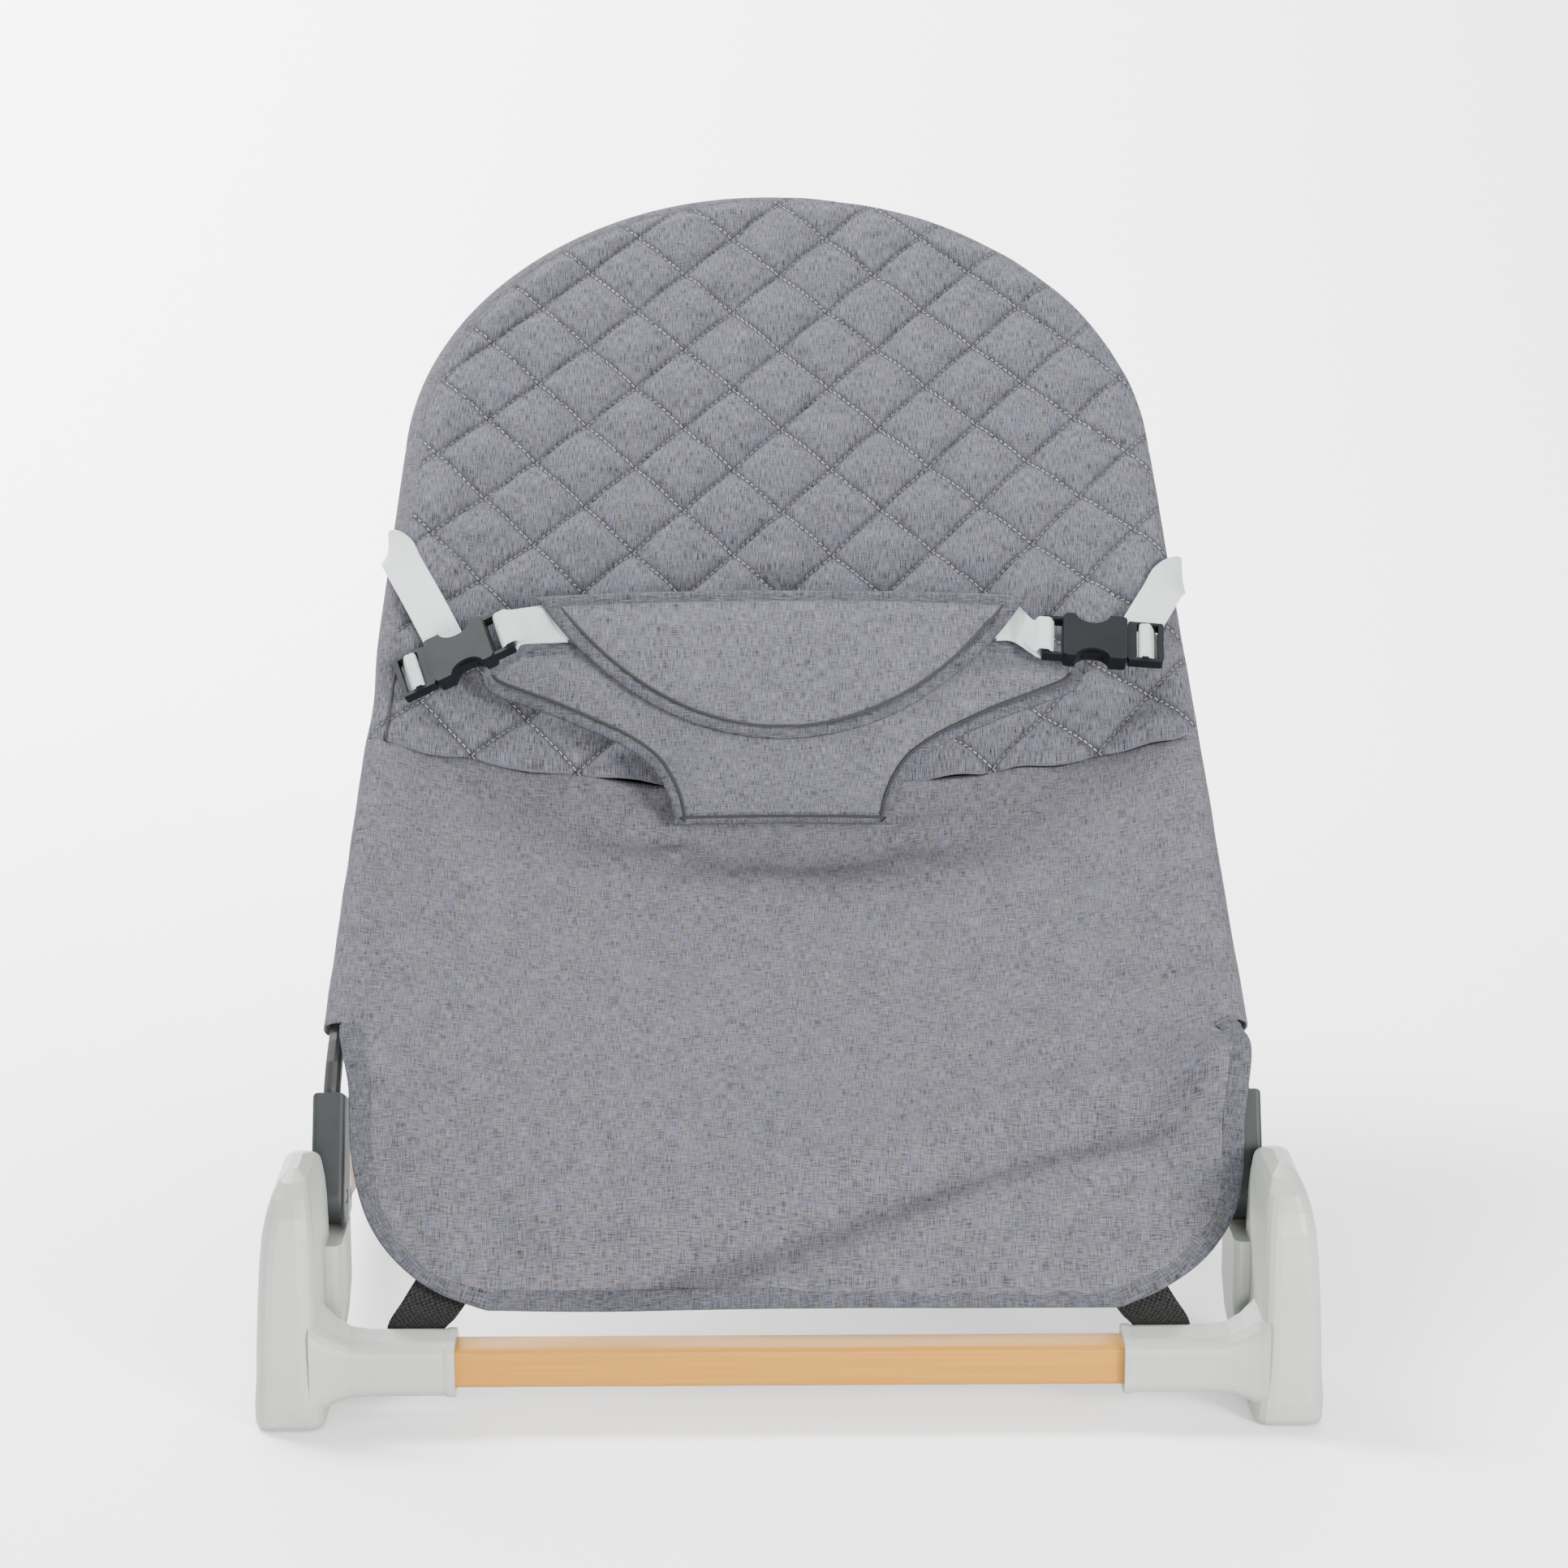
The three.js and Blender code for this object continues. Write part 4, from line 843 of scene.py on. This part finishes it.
def hem_binding():
    """Bias binding folded over the flap's free edge, from one tunnel's end round to the other."""
    place = plain_place(SEAM_AT - FLAP_START + FLAP_LENGTH)
    on_rods = SEAM_AT - FLAP_START
    share = FLAP_LENGTH / (on_rods + FLAP_LENGTH)
    outline = []
    for k in range(61):
        outline.append((0.0, share * (1 - (k / 60) ** 0.8)))
    for k in range(1, 100):
        outline.append((k / 100, 0.0))
    for k in range(61):
        outline.append((1.0, share * (1 - ((60 - k) / 60) ** 0.8)))
    edge = [place(a, b)[0] for a, b in outline]
    middle = place(0.5, share * 0.55)[0]
    inner = [(middle - p).normalized() for p in edge]
    widths = 8.6 * MM

    def lay(a, b):
        position = b * (len(edge) - 1)
        k = min(int(position), len(edge) - 2)
        w = position - k
        point = edge[k].lerp(edge[k + 1], w)
        along = (edge[min(k + 2, len(edge) - 1)] - edge[max(k - 1, 0)]).normalized()
        towards = inner[k].lerp(inner[k + 1], w)
        towards = (towards - along * towards.dot(along)).normalized()
        face = along.cross(towards).normalized()
        if face.dot(Vector((0, -0.9, 0.4))) < 0:
            face = -face
        angle = (a - 0.5) * 2
        if abs(angle) > 0.25:
            depth = widths * (abs(angle) - 0.25) / 0.75
            off = math.copysign(1.15 * MM, angle)
        else:
            depth = -0.9 * MM * math.cos(angle / 0.25 * math.pi / 2)
            off = 1.15 * MM * math.sin(angle / 0.25 * math.pi / 2)
        taper = 1 - 0.5 * smooth(0.75, 1.0, abs(angle))
        return point + towards * depth + face * off * taper, (a * 0.02, b * 0.8)

    bm, _ = cloth_grid(18, 420, lay)
    return finish_piece(bm, "hem_binding", "binding", "cover")


# ---- the harness ----

PAD_LINE = [Vector((146, -23, 0)) * MM, Vector((165, 14, 0)) * MM, Vector((248, 29, 0)) * MM]
PAD_HALF = [
    (0, 53.6), (0.1, 54.5), (0.2, 57), (0.3, 62), (0.35, 66), (0.4, 72.5), (0.45, 81),
    (0.5, 92), (0.575, 110),
    (0.635, 127), (0.69, 142), (0.74, 148), (0.79, 146), (0.86, 132),
]
WING_DROP, WING = 10 * MM, 146 * MM


def on_pad(x, share, lift=0.0):
    a, b, c = PAD_LINE
    place = a * (1 - share) ** 2 + b * (2 * share * (1 - share)) + c * share * share
    along = ((b - a) * (1 - share) + (c - b) * share).normalized()
    drop = WING_DROP * (x / WING) ** 2
    return on_seat(x, place.x - along.y * lift, place.y + along.x * lift - drop)


def padded_panel(name, across, along, place, half_thick, finish, replaces, band=6 * MM):
    """A sewn pad: a full edge where it is bound, a groove of stitches inside that, and a soft middle."""
    bm, where = cloth_grid(across, along, place)
    bm.normal_update()
    border = [v for v in bm.verts if v.is_boundary]
    finder = kdtree.KDTree(len(border))
    for k, vert in enumerate(border):
        finder.insert(vert.co, k)
    finder.balance()
    away = {vert: finder.find(vert.co)[2] for vert in bm.verts}
    middle = {vert: vert.co.copy() for vert in bm.verts}
    normal = {vert: vert.normal.copy() for vert in bm.verts}
    if normal[bm.verts[:][len(bm.verts) // 2]].dot(SLOPE_NORMAL) < 0:
        bmesh.ops.reverse_faces(bm, faces=bm.faces)
        normal = {vert: -n for vert, n in normal.items()}

    def half(d):
        bulge = math.sqrt(max(1 - ((d - band * 0.45) / (band * 0.52)) ** 2, 0.02))
        edge = 2.1 * MM * bulge if d < band * 0.97 else 0.0
        body = half_thick * smooth(band * 0.9, band * 3.2, d) + 0.9 * MM
        return max(edge, body if d > band * 0.9 else 0.25 * MM)

    front = bm.faces[:]
    made = bmesh.ops.extrude_face_region(bm, geom=front)["geom"]
    raised = [g for g in made if isinstance(g, bmesh.types.BMVert)]
    finder = kdtree.KDTree(len(middle))
    originals = list(middle)
    for k, vert in enumerate(originals):
        finder.insert(middle[vert], k)
    finder.balance()
    partner = {vert: originals[finder.find(vert.co)[1]] for vert in raised}
    for vert, old in partner.items():
        rumple = 0.5 * MM * noise.noise(middle[old] * 55)
        vert.co = middle[old] + normal[old] * (half(away[old]) + (rumple if away[old] > band else 0))
    for vert in originals:
        vert.co = middle[vert] - normal[vert] * half(away[vert])
    flat = bm.loops.layers.uv["cloth"]
    for face in bm.faces:
        for loop in face.loops:
            loop[flat].uv = where.get(loop.vert) or where[partner[loop.vert]]
        if min(away.get(v, away.get(partner.get(v), 0)) for v in face.verts) < band * 0.93:
            face.material_index = 1
    piece = finish_piece(bm, name, finish, "cover", replaces=replaces)
    return piece


def binding_seam(name, outline, inset, length, lift):
    """A line of dark stitches just inside a bound edge. The outline is (x, share) along the pad's line."""
    flat = [Vector((x, share * length)) for x, share in outline]
    points = []
    for k, here in enumerate(flat):
        along = (flat[min(k + 1, len(flat) - 1)] - flat[max(k - 1, 0)]).normalized()
        inner = here + Vector((-along.y, along.x)) * inset
        points.append(on_pad(inner.x, inner.y / length, lift))
    cloth_tube(points, 0.75 * MM, name, "thread", "cover", sides=6)


def harness_pad():
    def place(a, b):
        share = b * 0.86
        half = curve_through(PAD_HALF, share) * MM
        x = (2 * a - 1) * half
        return on_pad(x, share, -0.5 * MM), (x, share * 0.14)

    shares = [0.74 * (1 - k / 70) for k in range(70)]
    sides = [(curve_through(PAD_HALF, share) * MM, share) for share in shares]
    foot = [(53.6 * MM * (1 - k / 15), 0.0) for k in range(30)]
    outline = [(-x, share) for x, share in sides] + [(-x, share) for x, share in foot[1:]]
    outline += [(x, share) for x, share in reversed(sides)]
    binding_seam("pad_seam", outline, 5.8 * MM, 0.115, 1.1 * MM)
    return padded_panel("harness_cover", 150, 130, place, 2.2 * MM, ["harness", "binding"], ["harness_pad"])


LENS_START, LENS_HALF = 0.44, 121.5 * MM


def harness_flap():
    def place(a, b):
        up = b**1.7
        x = (2 * a - 1) * max(LENS_HALF * math.sqrt(up), 4 * MM)
        share = LENS_START + (1 - LENS_START) * up
        rise = 5.8 * MM + 1.2 * MM * noise.noise(Vector((x * 18, share * 3, 2.2)))
        crest = -1.6 * MM * math.cos(x / LENS_HALF * math.pi) * smooth(0.75, 1.0, up)
        return on_pad(x, share, rise + crest), (x, share * 0.14 + 0.5)

    ups = [(k / 90) ** 1.7 for k in range(4, 88)]
    right = [(LENS_HALF * math.sqrt(up), LENS_START + (1 - LENS_START) * up) for up in ups]
    outline = [(-x, share) for x, share in reversed(right)] + right
    binding_seam("flap_seam", outline, 5.8 * MM, 0.115, 7.4 * MM)
    finishes = ["harness", "binding"]
    return padded_panel("harness_flap_cover", 150, 80, place, 2.0 * MM, finishes, ["harness_flap"])


# ---- webbing ----


def tape(name, sections, width, thickness, finish, slot, replaces, body="seat", along=70):
    """A flat strap through sections, each a point and the direction across it there."""
    count = len(sections)
    knots = [[(k, sections[k][part][axis]) for k in range(count)] for part in (0, 1) for axis in range(3)]

    def place(a, b):
        t = b * (count - 1)
        values = [curve_through(row, t) for row in knots]
        across = Vector(values[3:]).normalized()
        return Vector(values[:3]) + across * (a - 0.5) * width, (a * width, b * count * 0.012)

    bm, _ = cloth_grid(8, along, place)
    thicken(bm, thickness)
    piece = finish_piece(bm, name, finish, slot, body, replaces)
    soften = piece.modifiers.new("soft_edges", "BEVEL")
    soften.width, soften.segments, soften.limit_method = 0.35 * MM, 2, "ANGLE"
    return piece


BUCKLES = {
    "right": {"x": 128, "s": 222, "h": 27.5, "tilt": -4, "yaw": 2},
    "left": {"x": -134, "s": 222, "h": 34, "tilt": 17, "yaw": 19},
}
OVER_BAR = 3.8
TAPE_WIDTH, TAPE_THICK = 20 * MM, 1.4 * MM
TETHER_WIDTH, TETHER_THICK = 25 * MM, 1.5 * MM
MIDDLE_BAR = 42 + 0.35 + 7.2 + 1.3


def buckle_frame(side):
    spec = BUCKLES[side]
    sign = 1 if side == "right" else -1
    tilt, yaw = math.radians(spec["tilt"]), math.radians(spec["yaw"])
    level = (ACROSS * math.cos(tilt) + SLOPE_UP * math.sin(tilt)) * sign
    u = level * math.cos(yaw) - SLOPE_NORMAL * math.sin(yaw)
    w = SLOPE_NORMAL * math.cos(yaw) + level * math.sin(yaw)
    v = w.cross(u)
    origin = on_seat(spec["x"] * MM, spec["s"] * MM, spec["h"] * MM)

    def place(along, lift, up=0.0):
        return origin + u * along * MM + w * lift * MM + v * sign * up * MM, v * sign

    return place


def pad_strap(side):
    sign = 1 if side == "right" else -1
    place = buckle_frame(side)
    pad_up = (on_pad(0, 0.97) - on_pad(0, 0.89)).normalized()
    sections = [
        (on_pad(sign * 103 * MM, 0.93, 2.8 * MM), pad_up), (on_pad(sign * 112 * MM, 0.93, 2.8 * MM), pad_up),
        (on_pad(sign * 117 * MM, 0.93, 3.2 * MM), (pad_up * 2 + SLOPE_UP) / 3),
        place(-4.5, 1.0), place(-1.6, OVER_BAR - 0.2), place(1.3, OVER_BAR),
        place(3.8, OVER_BAR - 0.4), place(5.5, -0.6),
        place(3.8, -OVER_BAR + 0.2), place(1.0, -OVER_BAR - 0.2), place(-4.0, -1.6),
        (on_pad(sign * 114 * MM, 0.92, 3.0 * MM), pad_up), (on_pad(sign * 106 * MM, 0.92, 3.0 * MM), pad_up),
    ]
    replaced = [f"{side}_pad_strap"]
    return tape(f"{side}_pad_tape", sections, TAPE_WIDTH, TAPE_THICK, "white_tape", "strap", replaced)


def side_strap(side):
    sign = 1 if side == "right" else -1
    place = buckle_frame(side)
    threaded = [
        place(MIDDLE_BAR - 2.4, -0.6), place(MIDDLE_BAR - 2, OVER_BAR - 0.4), place(MIDDLE_BAR, OVER_BAR),
        place(MIDDLE_BAR + 2.1, OVER_BAR - 0.4), place(MIDDLE_BAR + 5.6, -OVER_BAR + 0.6),
        place(MIDDLE_BAR + 7.9, -OVER_BAR), place(MIDDLE_BAR + 9.2, -OVER_BAR - 0.2),
    ]
    tape(
        f"{side}_adjuster_tape", threaded, TAPE_WIDTH, TAPE_THICK, "white_tape", "strap", (),
        body=f"{side}_plug", along=50,
    )

    lean, top, loose, hidden = (27, 268, 4, 52) if side == "right" else (24, 288, 0.5, 80)
    lean, top, loose = math.radians(lean), top * MM, loose * MM
    run = ACROSS * sign * math.sin(lean) + SLOPE_UP * math.cos(lean)
    across = -ACROSS * sign * math.cos(lean) + SLOPE_UP * math.sin(lean)
    over = on_seat(sign * rod_at(top), top, SLEEVE + 1.6 * MM)
    sections = [
        (over - run * hidden * MM + SLOPE_NORMAL * 6 * MM, across),
        (over - run * (hidden - 14) * MM + SLOPE_NORMAL * 6 * MM, across),
        (over - run * 36 * MM + SLOPE_NORMAL * 5.5 * MM, across),
        (over - run * 12 * MM + SLOPE_NORMAL * 3.4 * MM, across),
    ]
    s, steps = top, 12
    for k in range(steps + 1):
        angle = math.pi / 2 - math.pi * 0.95 * k / steps
        reach = SLEEVE + 1.6 * MM + loose * math.cos(angle) ** 2 + 2.2 * MM * max(math.sin(angle), 0) ** 3
        steep = lean + (math.radians(80) - lean) * (k / steps) ** 0.6
        tangent = ACROSS * sign * math.sin(angle) - SLOPE_NORMAL * math.cos(angle)
        sections.append((
            on_seat(sign * (rod_at(s) + reach * math.cos(angle)), s, reach * math.sin(angle)),
            -tangent * math.cos(steep) + SLOPE_UP * math.sin(steep),
        ))
        s += reach * math.pi * 0.95 / steps / math.tan(steep)
    replaced = [f"{side}_side_strap"]
    return tape(f"{side}_side_tape", sections, TAPE_WIDTH, TAPE_THICK, "white_tape", "strap", replaced)


def tether(side):
    sign = 1 if side == "right" else -1
    x_foot, y_foot = sign * 166 * MM, FRONT + 32.2 * MM
    slant = Vector((0.86 * sign, 0, 0.5)).normalized()
    level = Vector((sign, 0, 0.12)).normalized()
    sections = [
        (Vector((sign * 148 * MM, FRONT + 47 * MM, 63 * MM)), slant),
        (Vector((sign * 152 * MM, FRONT + 43 * MM, 55 * MM)), slant),
        (Vector((sign * 160 * MM, y_foot + 3 * MM, 44 * MM)), (slant + level).normalized()),
        (Vector((x_foot, y_foot + 0.4 * MM, 36 * MM)), level), (Vector((x_foot, y_foot, 26 * MM)), level),
    ]
    piece = tape(
        f"{side}_tether_tape", sections, TETHER_WIDTH, TETHER_THICK, "black_tape", "tether",
        [f"{side}_tether_strap"], body=None, along=40,
    )
    bpy.context.view_layer.update()
    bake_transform(piece)
    return piece


# ---- finishes of the frame's own pieces ----


FRAME_FINISH = {
    "_bracket": "grey_moulding", "_rear_foot": "grey_moulding", "_pivot_cap": "grey_moulding",
    "_foot_pad": "rubber", "_boot": "dark_boot", "_side_rail": "rail_foil", "front_bar": "cross_bar_foil",
    "rear_bar": "cross_bar_foil", "_screw": "zinc", "_front": "zinc", "_rear": "zinc", "_pin": "zinc",
    "seat_loop": "steel", "_socket": "buckle", "_plug": "buckle", "_prong": "buckle",
}


def finish_of(name):
    if "_screw" in name or "rail_front" in name or "rail_rear" in name:
        return "zinc"
    for ending, finish in FRAME_FINISH.items():
        if name.endswith(ending):
            return finish
    return None


def dress_frame():
    for name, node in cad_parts.items():
        chosen = finish_of(name)
        if not chosen:
            continue
        if not node.material_slots:
            node.data.materials.append(FINISH[chosen])
        for slot in node.material_slots:
            slot.link = "OBJECT"
            slot.material = FINISH[chosen]


stage()
dress_frame()
quilted_cover()
edge_strip()
plain_cover()
hem_binding()
back_cover()
harness_pad()
harness_flap()
for side in ("left", "right"):
    pad_strap(side)
    side_strap(side)
    tether(side)
